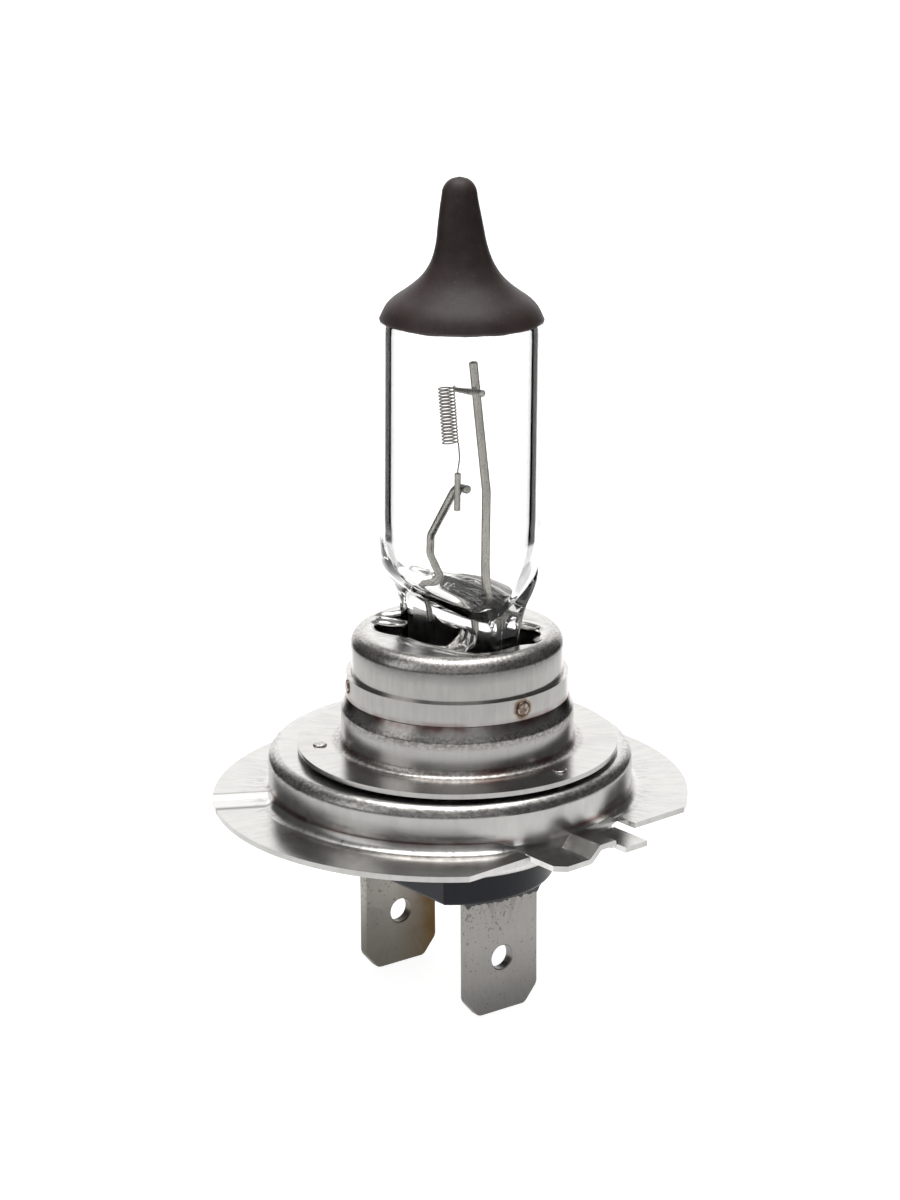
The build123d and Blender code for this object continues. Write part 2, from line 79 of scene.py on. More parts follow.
GLASS_RADIUS = 5.65
GLASS_WALL = 0.8
BORE_RADIUS = GLASS_RADIUS - GLASS_WALL
PINCH_BOTTOM = 5.25
DOME_START = 34.4
TIP_TOP = 44.75
TIP_RADIUS = 1.18
TIP_OFFSET = 0.3
DRIFT_START, DRIFT_HEIGHT = 38.0, 6.0
COATING_START = 34.93
COATING_THICKNESS = 0.05


def burner_point(x, y, z):
    """Place in the shared frame, in millimetres, of a point given on the leaning burner's axes."""
    return burner_foot + burner_x * x + burner_y * y + burner_up * z


def noise_at(x, y, z):
    """Smooth unevenness, the same on every run."""
    return noise.noise(Vector((x, y, z)))


# --- Mesh helpers -------------------------------------------------------------

def add_object(name, data):
    obj = bpy.data.objects.new(name, data)
    bpy.context.scene.collection.objects.link(obj)
    return obj


def piece(name, points, faces, material, slot, replaced=(), sharp=None):
    """Mesh object from points in millimetres, riding on the one body, sharp above an edge angle."""
    mesh = bpy.data.meshes.new(name)
    mesh.from_pydata([tuple(c * MM for c in p) for p in points], [], faces)
    mesh.validate()
    mesh.polygons.foreach_set("use_smooth", [True] * len(mesh.polygons))
    if sharp:
        mesh.set_sharp_from_angle(angle=radians(sharp))
    mesh.materials.append(material)
    obj = add_object(name, mesh)
    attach(obj, "root")
    if replaced:
        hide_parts(*replaced)


def ring_faces(rings, sides, first=0, flip=False, close_start=True, close_end=True):
    """Quads between stacked rings of points, with one flat face over each closed end."""
    faces = []
    for row in range(rings - 1):
        for k in range(sides):
            a = first + row * sides + k
            b = first + row * sides + (k + 1) % sides
            faces.append((a, b, b + sides, a + sides))
    last = first + (rings - 1) * sides
    if close_start:
        faces.append(tuple(first + k for k in reversed(range(sides))))
    if close_end:
        faces.append(tuple(last + k for k in range(sides)))
    if flip:
        faces = [tuple(reversed(face)) for face in faces]
    return faces


def closed_faces(count, size, flip=False):
    """Quads between the closed sections of a ring, the last joined to the first."""
    faces = []
    for i in range(count):
        j = (i + 1) % count
        for k in range(size):
            m = (k + 1) % size
            a, b, c, d = i * size + k, i * size + m, j * size + m, j * size + k
            faces.append((a, d, c, b) if flip else (a, b, c, d))
    return faces


def tube(name, path, radius, material, slot, replaced=(), sides=20, end_round=0.9):
    """Round wire along a list of points, with softened ends."""
    count = len(path)
    lengths = [0.0]
    for a, b in zip(path, path[1:]):
        lengths.append(lengths[-1] + (b - a).length)
    total = lengths[-1]
    skin = []
    normal = None
    for i, p in enumerate(path):
        ahead = (path[min(i + 1, count - 1)] - path[max(i - 1, 0)]).normalized()
        if normal is None:
            normal = ahead.orthogonal().normalized()
        normal = (normal - ahead * normal.dot(ahead)).normalized()
        across = ahead.cross(normal)
        r = radius(lengths[i] / total) if callable(radius) else radius
        from_end = min(lengths[i], total - lengths[i])
        rounding = end_round * r
        if from_end < rounding:
            r *= sqrt(max(1 - (1 - from_end / rounding) ** 2, 0.02))
        turns = [2 * pi * k / sides for k in range(sides)]
        skin += [p + normal * (r * cos(turn)) + across * (r * sin(turn)) for turn in turns]
    piece(name, skin, ring_faces(count, sides), material, slot, replaced)


def smooth_path(corners, steps):
    """Points along a Catmull-Rom curve through the corners."""
    pts = [corners[0] * 2 - corners[1], *corners, corners[-1] * 2 - corners[-2]]
    out = []
    for i in range(1, len(pts) - 2):
        p0, p1, p2, p3 = pts[i - 1:i + 3]
        for s in range(steps):
            t = s / steps
            out.append(0.5 * (p1 * 2 + (p2 - p0) * t + (p0 * 2 - p1 * 5 + p2 * 4 - p3) * t ** 2
                              + (p1 * 3 - p0 - p2 * 3 + p3) * t ** 3))
    out.append(corners[-1])
    return out


PATH_SPACING = 0.35


def rounded_path(corners, bend, steps=10, ends=6):
    """Straight runs joined by round bends of roughly the given radius, with close points at both ends."""
    out = []

    def run(a, b):
        length = (b - a).length
        count = max(2, int(length / PATH_SPACING))
        out.extend(a + (b - a) * (i / count) for i in range(count))

    start = corners[0]
    for i in range(1, len(corners) - 1):
        before = (corners[i - 1] - corners[i]).normalized()
        after = (corners[i + 1] - corners[i]).normalized()
        half = max(before.angle(after) / 2, 0.01)
        shorter = min((corners[i] - corners[i - 1]).length, (corners[i + 1] - corners[i]).length)
        cut = min(bend / tan(half), 0.45 * shorter)
        enter, leave = corners[i] + before * cut, corners[i] + after * cut
        run(start, enter)
        for s in range(steps):
            t = s / steps
            out.append(enter * (1 - t) ** 2 + corners[i] * (2 * t * (1 - t)) + leave * t ** 2)
        start = leave
    run(start, corners[-1])
    out.append(corners[-1])
    first, last = out[0], out[-1]
    lead_in = [first + (out[1] - first) * (k / ends) ** 2 for k in range(ends)]
    lead_out = [last + (out[-2] - last) * (k / ends) ** 2 for k in reversed(range(ends))]
    return lead_in + out[1:-1] + lead_out


# --- Material helpers ---------------------------------------------------------

class Graph:
    """A node tree, and short ways to add and join its nodes."""

    def __init__(self, tree):
        self.tree = tree

    def set(self, node, **settings):
        for key, value in settings.items():
            node.inputs[key.replace("_", " ")].default_value = value

    def add(self, kind, **settings):
        node = self.tree.nodes.new(kind)
        for key, value in settings.items():
            setattr(node, key, value)
        return node

    def link(self, a, b):
        self.tree.links.new(a, b)

    def math(self, operation, *values, clamp=False):
        node = self.add("ShaderNodeMath", operation=operation, use_clamp=clamp)
        for socket, value in zip(node.inputs, values):
            if isinstance(value, (int, float)):
                socket.default_value = value
            else:
                self.link(value, socket)
        return node.outputs[0]

    def plus(self, a, b):
        return self.math("ADD", a, b)

    def minus(self, a, b, clamp=False):
        return self.math("SUBTRACT", a, b, clamp=clamp)

    def times(self, a, b):
        return self.math("MULTIPLY", a, b)

    def larger(self, a, b):
        return self.math("MAXIMUM", a, b)

    def fade(self, away, reach, start=1.0):
        """Falls in a straight line from its start at no distance, held between 0 and 1."""
        return self.minus(start, self.math("DIVIDE", away, reach), clamp=True)

    def length(self, a, b):
        """Length of the long side of a right-angled triangle."""
        return self.math("SQRT", self.plus(self.times(a, a), self.times(b, b)))

    def smooth(self, value, low, high):
        """Rises smoothly from 0 to 1 as the value goes from low to high."""
        node = self.add("ShaderNodeMapRange", interpolation_type="SMOOTHSTEP")
        self.link(value, node.inputs["Value"])
        self.set(node, From_Min=low, From_Max=high)
        return node.outputs[0]

    def measure(self, operation, vector, other=None):
        """A number from a vector: its length, or its distance from a point or reach along a direction."""
        node = self.add("ShaderNodeVectorMath", operation=operation)
        self.link(vector, node.inputs[0])
        if other is not None:
            node.inputs[1].default_value = other
        return node.outputs["Value"]

    def split(self, vector):
        node = self.add("ShaderNodeSeparateXYZ")
        self.link(vector, node.inputs[0])
        return node.outputs


class Shader(Graph):
    """A node material on the Principled shader, in millimetres of object space."""

    def __init__(self, name, **settings):
        self.material = bpy.data.materials.new(name)
        self.material.use_nodes = True
        super().__init__(self.material.node_tree)
        self.bsdf = self.tree.nodes["Principled BSDF"]
        self.set(self.bsdf, **settings)
        scale = self.add("ShaderNodeVectorMath", operation="SCALE")
        scale.inputs["Scale"].default_value = 1 / MM
        self.link(self.add("ShaderNodeTexCoord").outputs["Object"], scale.inputs[0])
        self.place = scale.outputs[0]

    def noise(self, scale, detail=3.0, stretch=(1, 1, 1), rough=0.55, at=None):
        """Noise with features per millimetre, stretched along the axes."""
        mapping = self.add("ShaderNodeMapping")
        mapping.inputs["Scale"].default_value = stretch
        self.link(at or self.place, mapping.inputs["Vector"])
        node = self.add("ShaderNodeTexNoise")
        self.set(node, Scale=scale, Detail=detail, Roughness=rough)
        self.link(mapping.outputs[0], node.inputs["Vector"])
        return node.outputs["Fac"]

    def cylindrical(self, centre_x=0.0, centre_y=0.0):
        """Coordinates wrapped round an upright axis, then the height and the radius alone."""
        x, y, height = self.split(self.place)
        x, y = self.minus(x, centre_x), self.minus(y, centre_y)
        radius = self.length(x, y)
        join = self.add("ShaderNodeCombineXYZ")
        for socket, value in zip(join.inputs, (self.math("ARCTAN2", y, x), height, radius)):
            self.link(value, socket)
        return join.outputs[0], height, radius

    def ramp(self, value, stops):
        node = self.add("ShaderNodeValToRGB")
        elements = node.color_ramp.elements
        while len(elements) < len(stops):
            elements.new(0.5)
        for element, (position, colour) in zip(elements, stops):
            element.position = position
            element.color = (*colour, 1)
        self.link(value, node.inputs[0])
        return node.outputs[0]

    def greys(self, value, *stops):
        """Ramp of greys, from pairs of a position and a level."""
        return self.ramp(value, [(position, (level,) * 3) for position, level in stops])

    def mask(self, value, low, high):
        """0 up to the low value and 1 from the high one."""
        return self.greys(value, (low, 0), (high, 1))

    def mix(self, factor, a, b, blend="MIX"):
        node = self.add("ShaderNodeMix", data_type="RGBA", blend_type=blend)
        for socket, value in zip((node.inputs[0], node.inputs[6], node.inputs[7]), (factor, a, b)):
            if isinstance(value, (int, float)):
                socket.default_value = value
            elif isinstance(value, tuple):
                socket.default_value = (*value, 1)
            else:
                self.link(value, socket)
        return node.outputs[2]

    def bump(self, height, strength, distance):
        node = self.add("ShaderNodeBump")
        self.set(node, Strength=strength, Distance=distance * MM)
        self.link(height, node.inputs["Height"])
        self.link(node.outputs[0], self.bsdf.inputs["Normal"])

    def colour(self, socket):
        self.link(socket, self.bsdf.inputs["Base Color"])

    def roughness(self, socket):
        self.link(socket, self.bsdf.inputs["Roughness"])


WHITE = (1, 1, 1)
# Painted highlight for the flange's ramp, and painted shade for its fold lines.
RAMP_PAINTED_HIGHLIGHT = (0.84, 0.83, 0.82)
FOLD_PAINTED_SHADE = (0.12, 0.115, 0.11)
BRUSH_DARK = (0.14, 0.135, 0.13)
RUB_DARK = (0.13, 0.125, 0.12)
RUST = (0.20, 0.085, 0.07)
HEAT_TINT = [(0.0, (0.08, 0.055, 0.045)), (0.25, (0.12, 0.075, 0.05)), (0.32, (0.55, 0.42, 0.32)),
             (0.42, WHITE)]
BRUSHED_WIDTH = 2.6


def scaled(colour, gain):
    return tuple(gain * c for c in colour)


def wing_fold_shade_and_brush_marks(s, colour, radius, height, wrapped):
    """Painted shade along the fold lines across the flange where its front steps down to its rear, a painted
    highlight on the ramp's band between them, and brush marks round the drum.
    """
    x, y = s.split(s.place)[:2]
    inward = s.times(s.math("ABSOLUTE", x), -sin(RAMP_TURN))
    across = s.plus(inward, s.times(y, cos(RAMP_TURN)))
    outside = s.math("GREATER_THAN", radius, DRUM_RADIUS + 0.1)
    middle, half = (RAMP_WIDTH + FRONT_FOLD) / 2, (RAMP_WIDTH - FRONT_FOLD) / 2
    # Band of the ramp between the fold lines, lightened as a painted highlight.
    ramp = s.math("LESS_THAN", s.math("ABSOLUTE", s.minus(across, middle)), half)
    colour = s.mix(s.times(s.times(ramp, outside), 0.5), colour, RAMP_PAINTED_HIGHLIGHT)
    # Painted shade along each fold line.
    for line, width, depth in ((FRONT_FOLD, 0.40, 0.9), (RAMP_WIDTH, 0.3, 0.6)):
        painted_fold_shade = s.fade(s.math("ABSOLUTE", s.minus(across, line)), width)
        colour = s.mix(s.times(s.times(painted_fold_shade, outside), depth), colour, FOLD_PAINTED_SHADE)
    low = s.times(outside, s.math("LESS_THAN", height, 0.3))
    marks = s.mask(s.noise(1.0, 4.0, (34.0, 0.3, 0.9), 0.65, wrapped), 0.5, 0.68)
    brushed = s.times(s.times(marks, s.fade(s.minus(radius, DRUM_RADIUS), BRUSHED_WIDTH)), low)
    return s.mix(s.times(brushed, 0.6), colour, BRUSH_DARK)


def steel(name, base, rough, centre=(0.0, 0.0), welds=(), grain=1.0, bends=(), stains=(), brushed=0.0,
          rubs=(), shaded_folds_and_brushing=False):
    """Satin drawn steel: draw marks, fine grain, rough bends, rust-brown joints and heat tint at welds; on
    the flange, where asked, painted shade along fold lines, a painted highlight on the ramp and brush marks.

    A bend, stain or rub is a ring about the centre: its radius, its height and how far it reaches.
    """
    s = Shader(name, Metallic=1.0)
    wrapped, height, radius = s.cylindrical(*centre)

    def from_ring(ring_radius, ring_height):
        return s.length(s.minus(radius, ring_radius), s.minus(height, ring_height))

    streaks = s.noise(1.0, 4.0, (26.0, 0.35, 0.35), 0.6, wrapped)
    cloud = s.noise(0.45, 4.0)
    fine = s.noise(16.0, 2.0)
    coarse = s.noise(5.0, 3.0, (7.0, 1.0, 1.0), 0.6, wrapped)
    tone = s.plus(s.times(streaks, 0.45), s.times(cloud, 0.55))
    light = tuple(min(1.0, 1.08 * c) for c in base)
    colour = s.ramp(tone, [(0.30, scaled(base, 0.82)), (0.55, base), (0.75, light)])
    gloss = s.plus(s.times(fine, 0.5), s.times(cloud, 0.5))
    gloss = s.greys(gloss, (0.25, rough * 0.78), (0.8, rough * 1.3))
    relief = s.plus(s.times(streaks, 0.6), s.times(fine, 0.4))
    if bends:
        bent = 0.0
        for *ring, reach in bends:
            bent = s.larger(s.fade(from_ring(*ring), reach, 1.35), bent)
        specks = s.ramp(coarse, [(0.42, (0.55, 0.53, 0.51)), (0.58, WHITE)])
        colour = s.mix(bent, colour, s.mix(1.0, colour, specks, "MULTIPLY"))
        gloss = s.plus(gloss, s.times(bent, 0.09))
        relief = s.plus(relief, s.times(s.times(bent, coarse), 1.1))
    for *ring, reach in stains:
        patchy = s.mask(s.noise(0.7, 3.0, (3.0, 0.4, 0.4), 0.6, wrapped), 0.42, 0.62)
        colour = s.mix(s.times(s.fade(from_ring(*ring), reach), patchy), colour, RUST)
    for rub_radius, rub_height, reach in rubs:
        near = s.fade(s.math("ABSOLUTE", s.minus(height, rub_height)), reach)
        outside = s.math("GREATER_THAN", radius, rub_radius - 0.1)
        dashes = s.mask(s.noise(0.9, 4.0, (2.2, 0.3, 3.5), 0.7, wrapped), 0.52, 0.62)
        rubbed = s.times(s.times(near, outside), dashes)
        colour = s.mix(s.times(rubbed, 0.75), colour, RUB_DARK)
    # Painted shade along the flange's fold lines, a painted highlight on its ramp, and brush marks.
    if shaded_folds_and_brushing:
        colour = wing_fold_shade_and_brush_marks(s, colour, radius, height, wrapped)
    for spot in welds:
        away = s.plus(s.measure("DISTANCE", s.place, spot), s.times(s.minus(s.noise(2.4, 3.0), 0.5), 0.45))
        colour = s.mix(1.0, colour, s.ramp(s.times(away, 0.5), HEAT_TINT), "MULTIPLY")
    s.colour(colour)
    s.roughness(gloss)
    if brushed:
        relief = s.plus(relief, s.times(s.noise(1.0, 3.0, (60.0, 0.3, 0.3), 0.7, wrapped), brushed))
    s.bump(relief, 0.14 * grain, 0.02)
    return s.material


def quartz():
    """Clear fused quartz with faint draw lines."""
    s = Shader("quartz", Roughness=0.0, IOR=1.46, Metallic=0.0)
    s.bsdf.inputs["Transmission Weight"].default_value = 1.0
    s.bump(s.noise(0.8, 2.0, (1.0, 1.0, 0.12)), 0.05, 0.02)
    s.colour(s.ramp(s.noise(0.1, 1.0), [(0.0, (0.985, 0.985, 0.978)), (1.0, (0.998, 0.998, 0.992))]))
    return s.material


def coating():
    """Matte dark baked coating, mottled and speckled."""
    s = Shader("antiglare_coating", Metallic=0.0)
    s.bsdf.inputs["Specular IOR Level"].default_value = 0.35
    cloud = s.noise(0.9, 5.0)
    grain = s.noise(9.0, 3.0)
    specks = s.mask(s.noise(2.6, 1.0), 0.70, 0.76)
    base = s.ramp(s.plus(s.times(cloud, 0.6), s.times(grain, 0.4)),
                  [(0.3, (0.045, 0.032, 0.031)), (0.55, (0.062, 0.045, 0.043)), (0.8, (0.095, 0.072, 0.068))])
    s.colour(s.mix(s.times(specks, 0.25), base, (0.16, 0.13, 0.12)))
    s.roughness(s.greys(grain, (0.3, 0.42), (0.7, 0.58)))
    s.bump(s.plus(s.times(grain, 0.6), s.times(cloud, 0.6)), 0.35, 0.05)
    return s.material


def wire_metal(name, base, rough):
    """Satin drawn wire with lengthwise marks and darker patches."""
    s = Shader(name, Metallic=1.0)
    cloud = s.noise(0.6, 3.0)
    marks = s.noise(5.0, 3.0, (1, 1, 0.12))
    tone = s.plus(s.times(cloud, 0.7), s.times(marks, 0.3))
    s.colour(s.ramp(tone, [(0.3, scaled(base, 0.82)), (0.5, base), (0.72, scaled(base, 1.15))]))
    s.roughness(s.greys(marks, (0.3, rough * 0.9), (0.7, rough * 1.2)))
    s.bump(marks, 0.08, 0.02)
    return s.material


def weld_metal(name, tones):
    """Weld nugget, mottled between heat-tinted and bright metal."""
    s = Shader(name, Metallic=1.0)
    cloud = s.noise(3.5, 3.0)
    s.colour(s.ramp(cloud, list(zip((0.3, 0.5, 0.7), tones))))
    s.roughness(s.greys(cloud, (0.3, 0.30), (0.7, 0.16)))
    s.bump(cloud, 0.3, 0.05)
    return s.material


def plastic():
    """Glossy blue-black moulding."""
    s = Shader("insulator", Metallic=0.0)
    s.bsdf.inputs["Specular IOR Level"].default_value = 0.2
    cloud = s.noise(0.7, 3.0)
    fine = s.noise(6.0, 3.0)
    s.colour(s.ramp(cloud, [(0.3, (0.006, 0.007, 0.011)), (0.7, (0.009, 0.010, 0.016))]))
    s.roughness(s.greys(fine, (0.3, 0.20), (0.7, 0.27)))
    s.bump(cloud, 0.04, 0.02)
    return s.material


NICKEL = [(0.3, (0.25, 0.24, 0.228)), (0.55, (0.29, 0.28, 0.267)), (0.8, (0.33, 0.32, 0.305))]
BLADE_LEFT, TARNISH_WIDTH, FADE_HEIGHT = -3.4, 6.4, 8.0


def blade_metal(name, tarnish, gain, fade):
    """Dull nickel plate, darker towards its tip, with specks, rolling lines and, on one blade, tarnish."""
    s = Shader(name, Metallic=1.0)
    x, _, height = s.split(s.place)
    lines = s.noise(1.0, 3.0, (9.0, 9.0, 0.5))
    cloud = s.noise(0.5, 4.0)
    side = s.math("DIVIDE", s.minus(x, BLADE_LEFT), TARNISH_WIDTH, clamp=True)
    above_tip = s.math("DIVIDE", s.minus(height, BLADE_TIP), FADE_HEIGHT, clamp=True)
    corner = s.times(s.times(above_tip, above_tip), s.minus(1.0, side))
    pits = s.plus(s.noise(4.2, 2.0), s.times(corner, 0.10))
    specks = s.mask(pits, 0.66, 0.71)
    base = s.ramp(s.plus(s.times(lines, 0.3), s.times(cloud, 0.7)),
                  [(stop, scaled(nickel, gain)) for stop, nickel in NICKEL])
    base = s.mix(1.0, base, s.greys(above_tip, *fade), "MULTIPLY")
    colour = s.mix(s.times(specks, 0.55), base, (0.07, 0.066, 0.06))
    if tarnish:
        wave = s.times(s.minus(s.noise(0.6, 3.0), 0.5), 0.3)
        edge = s.greys(s.plus(side, wave), (0.35, 0), (0.68, 0.45), (0.9, 1))
        colour = s.mix(0.25, colour, (0.16, 0.14, 0.09))
        colour = s.mix(edge, colour, (0.10, 0.062, 0.024))
    s.colour(colour)
    s.roughness(s.greys(cloud, (0.3, 0.34), (0.7, 0.46)))
    s.bump(s.plus(lines, s.times(specks, -0.5)), 0.2, 0.02)
    return s.material


def sealant():
    """Cured black sealant."""
    s = Shader("sealant", Metallic=0.0)
    fine = s.noise(3.0, 3.0)
    s.colour(s.ramp(fine, [(0.3, (0.006, 0.006, 0.008)), (0.7, (0.018, 0.018, 0.022))]))
    s.roughness(s.greys(fine, (0.3, 0.3), (0.7, 0.5)))
    s.bump(fine, 0.5, 0.05)
    return s.material


# --- Materials on the CAD nodes -----------------------------------------------

# Angles round the cap, in radians, that part two nuggets and that hold a whole one.
NUGGET_GAP, NUGGET_REACH = 0.5, 0.3


def weld_spots(node):
    """The middle of each separate nugget in a node, in millimetres."""
    points = np.array([v.co for v in NODES[node].data.vertices]) / MM
    angles = np.arctan2(points[:, 1] - CUP_Y, points[:, 0] - CUP_X)
    groups = []
    for centre in sorted(angles):
        if not groups or centre - groups[-1][-1] > NUGGET_GAP:
            groups.append([centre])
        groups[-1].append(centre)
    spots = []
    for group in groups:
        middle = (min(group) + max(group)) / 2
        near = points[np.abs((angles - middle + pi) % (2 * pi) - pi) < NUGGET_REACH]
        spots.append(tuple((near.min(0) + near.max(0)) / 2))
    return spots


band_spots = weld_spots("band_welds")
MOLYBDENUM = wire_metal("molybdenum", (0.29, 0.28, 0.255), 0.26)
TUNGSTEN = wire_metal("tungsten", (0.20, 0.18, 0.165), 0.22)
FOIL = wire_metal("foil", (0.55, 0.55, 0.54), 0.18)
WELD = weld_metal("weld_nugget", [(0.11, 0.075, 0.055), (0.34, 0.25, 0.20), (0.70, 0.65, 0.62)])
PALE_WELD = weld_metal("pale_weld", [(0.30, 0.28, 0.26), (0.52, 0.50, 0.48), (0.66, 0.65, 0.63)])
BULGE_RADIUS, BULGE_TOP, BAND_RADIUS, BAND_BOTTOM = 8.27, BASE + 6.95, 7.89, BASE + 7.95
DRUM_RADIUS, DRUM_RIM, FLANGE_TOP = 13.0, BASE + 3.5, 0.0
RAMP_TURN, RAMP_WIDTH, FRONT_FOLD = radians(31.2), 2.24, -1.6
CUP_STEEL = steel("cup_steel", (0.67, 0.655, 0.63), 0.22, (CUP_X, CUP_Y), band_spots,
                  bends=[(7.2, CUP_TOP - 0.35, 0.75)])
COLLAR_STEEL = steel("collar_steel", (0.64, 0.625, 0.605), 0.21, (CUP_X, CUP_Y), band_spots,
                     bends=[(BULGE_RADIUS, BULGE_TOP, 0.5), (BULGE_RADIUS + 0.2, DRUM_TOP + 0.5, 0.45)],
                     stains=[(BAND_RADIUS, BAND_BOTTOM - 0.1, 0.55), (BULGE_RADIUS, DRUM_TOP + 0.7, 0.4)])
# The ring's flange gets painted shade along its fold lines and a painted highlight on its ramp.
RING_STEEL = steel("ring_steel", (0.66, 0.65, 0.63), 0.22, grain=1.2,
                   bends=[(DRUM_RADIUS - 0.2, DRUM_RIM, 0.5)],
                   stains=[(DRUM_RADIUS, FLANGE_TOP + 0.75, 0.35)], brushed=0.4,
                   rubs=[(DRUM_RADIUS, FLANGE_TOP + 1.15, 0.3)], shaded_folds_and_brushing=True)
TONGUE_STEEL = steel("tongue_steel", (0.60, 0.585, 0.56), 0.11, (CUP_X, CUP_Y))
SLEEVE_STEEL = steel("sleeve_steel", (0.60, 0.59, 0.57), 0.28, (0.0, 0.0))
QUARTZ = quartz()
COATING = coating()
PLASTIC = plastic()
BLADE_FRONT = blade_metal("blade_nickel", False, 1.05, [(0.0, 0.48), (0.15, 0.58), (0.35, 0.82), (0.7, 1.0)])
BLADE_REAR = blade_metal("blade_tarnished", True, 1.4, [(0.0, 0.26), (0.15, 0.30), (0.4, 0.48), (0.78, 1.0)])
SEALANT = sealant()

CAD_MATERIALS = (
    (CUP_STEEL, ["pinch_cup"]), (COLLAR_STEEL, ["focus_collar"]), (RING_STEEL, ["prefocus_ring"]),
    (SLEEVE_STEEL, ["base_sleeve"]), (PLASTIC, ["insulator"]), (BLADE_FRONT, ["blade_front"]),
    (BLADE_REAR, ["blade_rear"]), (SEALANT, ["blade_sealant"]),
    (WELD, ["band_welds", "base_welds", "lead_welds"]), (PALE_WELD, ["disc_welds"]),
    (TUNGSTEN, ["filament_coil"]), (QUARTZ, ["quartz_envelope"]),
    (COATING, ["antiglare_cap"]), (FOIL, ["long_post_foil", "short_post_foil"]),
    (MOLYBDENUM, ["sleeve_welds", "filament_upper_sleeve", "filament_lower_sleeve", "long_support_post",
                  "short_support_post", "long_post_lead", "short_post_lead"]),
)
for material, names in CAD_MATERIALS:
    for name in names:
        data = NODES[name].data
        data.materials.clear()
        data.materials.append(material)


# --- Quartz burner ------------------------------------------------------------

def blend_curve(points):
    """Smooth curve through (x, y) points, as a function of x."""
    xs, ys = np.array(points, float).T
    slopes = np.gradient(ys, xs)
    secant = np.diff(ys) / np.diff(xs)
    for i in range(1, len(xs) - 1):
        if secant[i - 1] * secant[i] <= 0:
            slopes[i] = 0.0
        else:
            slopes[i] = 2 * secant[i - 1] * secant[i] / (secant[i - 1] + secant[i])

    def curve(x):
        x = min(max(x, xs[0]), xs[-1])
        i = min(int(np.searchsorted(xs, x, "right")) - 1, len(xs) - 2)
        h = xs[i + 1] - xs[i]
        t = (x - xs[i]) / h
        return ((2 * t ** 3 - 3 * t ** 2 + 1) * ys[i] + (t ** 3 - 2 * t ** 2 + t) * h * slopes[i]
                + (-2 * t ** 3 + 3 * t ** 2) * ys[i + 1] + (t ** 3 - t ** 2) * h * slopes[i + 1])

    return curve


dome = blend_curve([(DOME_START, 5.65), (34.85, 5.62), (35.25, 5.49), (35.75, 5.24), (36.25, 4.78),
                    (36.75, 4.08), (37.25, 3.43), (37.75, 2.89), (38.25, 2.49), (39.05, 2.05), (40.25, 1.70),
                    (41.75, 1.47), (43.2, 1.24), (TIP_TOP - TIP_RADIUS, TIP_RADIUS)])


def outer_radius(z):
    """Radius of the burner above its shoulder."""
    if z <= DOME_START:
        return GLASS_RADIUS
    if z <= TIP_TOP - TIP_RADIUS:
        return dome(z)
    return sqrt(max(TIP_RADIUS ** 2 - (z - TIP_TOP + TIP_RADIUS) ** 2, 0.0))


def tip_shift(z):
    """Sideways drift of the drawn tip from the burner's axis."""
    t = min(max((z - DRIFT_START) / DRIFT_HEIGHT, 0.0), 1.0)
    return -TIP_OFFSET * t * t * (3 - 2 * t)


SIDES = 144
PINCH_TOP, SHOULDER_TOP = 13.5, 20.4
CAVITY_FLOOR, CAVITY_SHOULDER, CAVITY_END = 14.9, 21.0, 39.6
# Slope of the cavity's floor, and the height over which it dies out.
FLOOR_TILT, TILT_HEIGHT = 0.13, 3.6
half_x = blend_curve([(PINCH_BOTTOM, 1.55), (12.4, 1.55), (13.4, 1.6), (14.1, 1.75), (15.1, 2.35),
                      (16.0, 3.35), (17.2, 4.75), (18.3, 5.42), (19.4, 5.61), (20.4, 5.65), (21.4, 5.65)])
half_y = blend_curve([(PINCH_BOTTOM, 5.2), (13.0, 5.3), (15.0, 5.4), (16.0, 5.45), (17.2, 5.54), (18.3, 5.6),
                      (19.4, 5.64), (20.4, 5.65), (21.4, 5.65)])
squareness = blend_curve([(PINCH_BOTTOM, 6.0), (14.0, 6.0), (15.0, 5.0), (16.0, 4.0), (17.2, 2.6),
                          (18.3, 2.1), (19.4, 2.0), (20.4, 2.0)])


def super_ring(a, b, power, z, ripple=0.0, shift=0.0, tilt=0.0):
    """Ring of points on a superellipse at height z of the burner, with a slight ripple and tilt."""
    ring = []
    for k in range(SIDES):
        t = 2 * pi * k / SIDES
        c, s = cos(t), sin(t)
        x, y = a * copysign(abs(c) ** (2 / power), c), b * copysign(abs(s) ** (2 / power), s)
        if ripple:
            wave = noise_at(x * 0.9, y * 0.9, z * 0.8) + 0.5 * noise_at(x * 2.3, y * 2.3, z * 2)
            swell = 1 + ripple * wave / max(hypot(x, y), 0.1)
            x, y = x * swell, y * swell
        ring.append(burner_point(x + shift, y, z + tilt * y))
    return ring


def ripple_at(z):
    """How wavy the pressed glass is at a height."""
    return 0.02 * exp(-((z - 14.0) / 1.5) ** 2) + 0.025 * (z < 14.0)


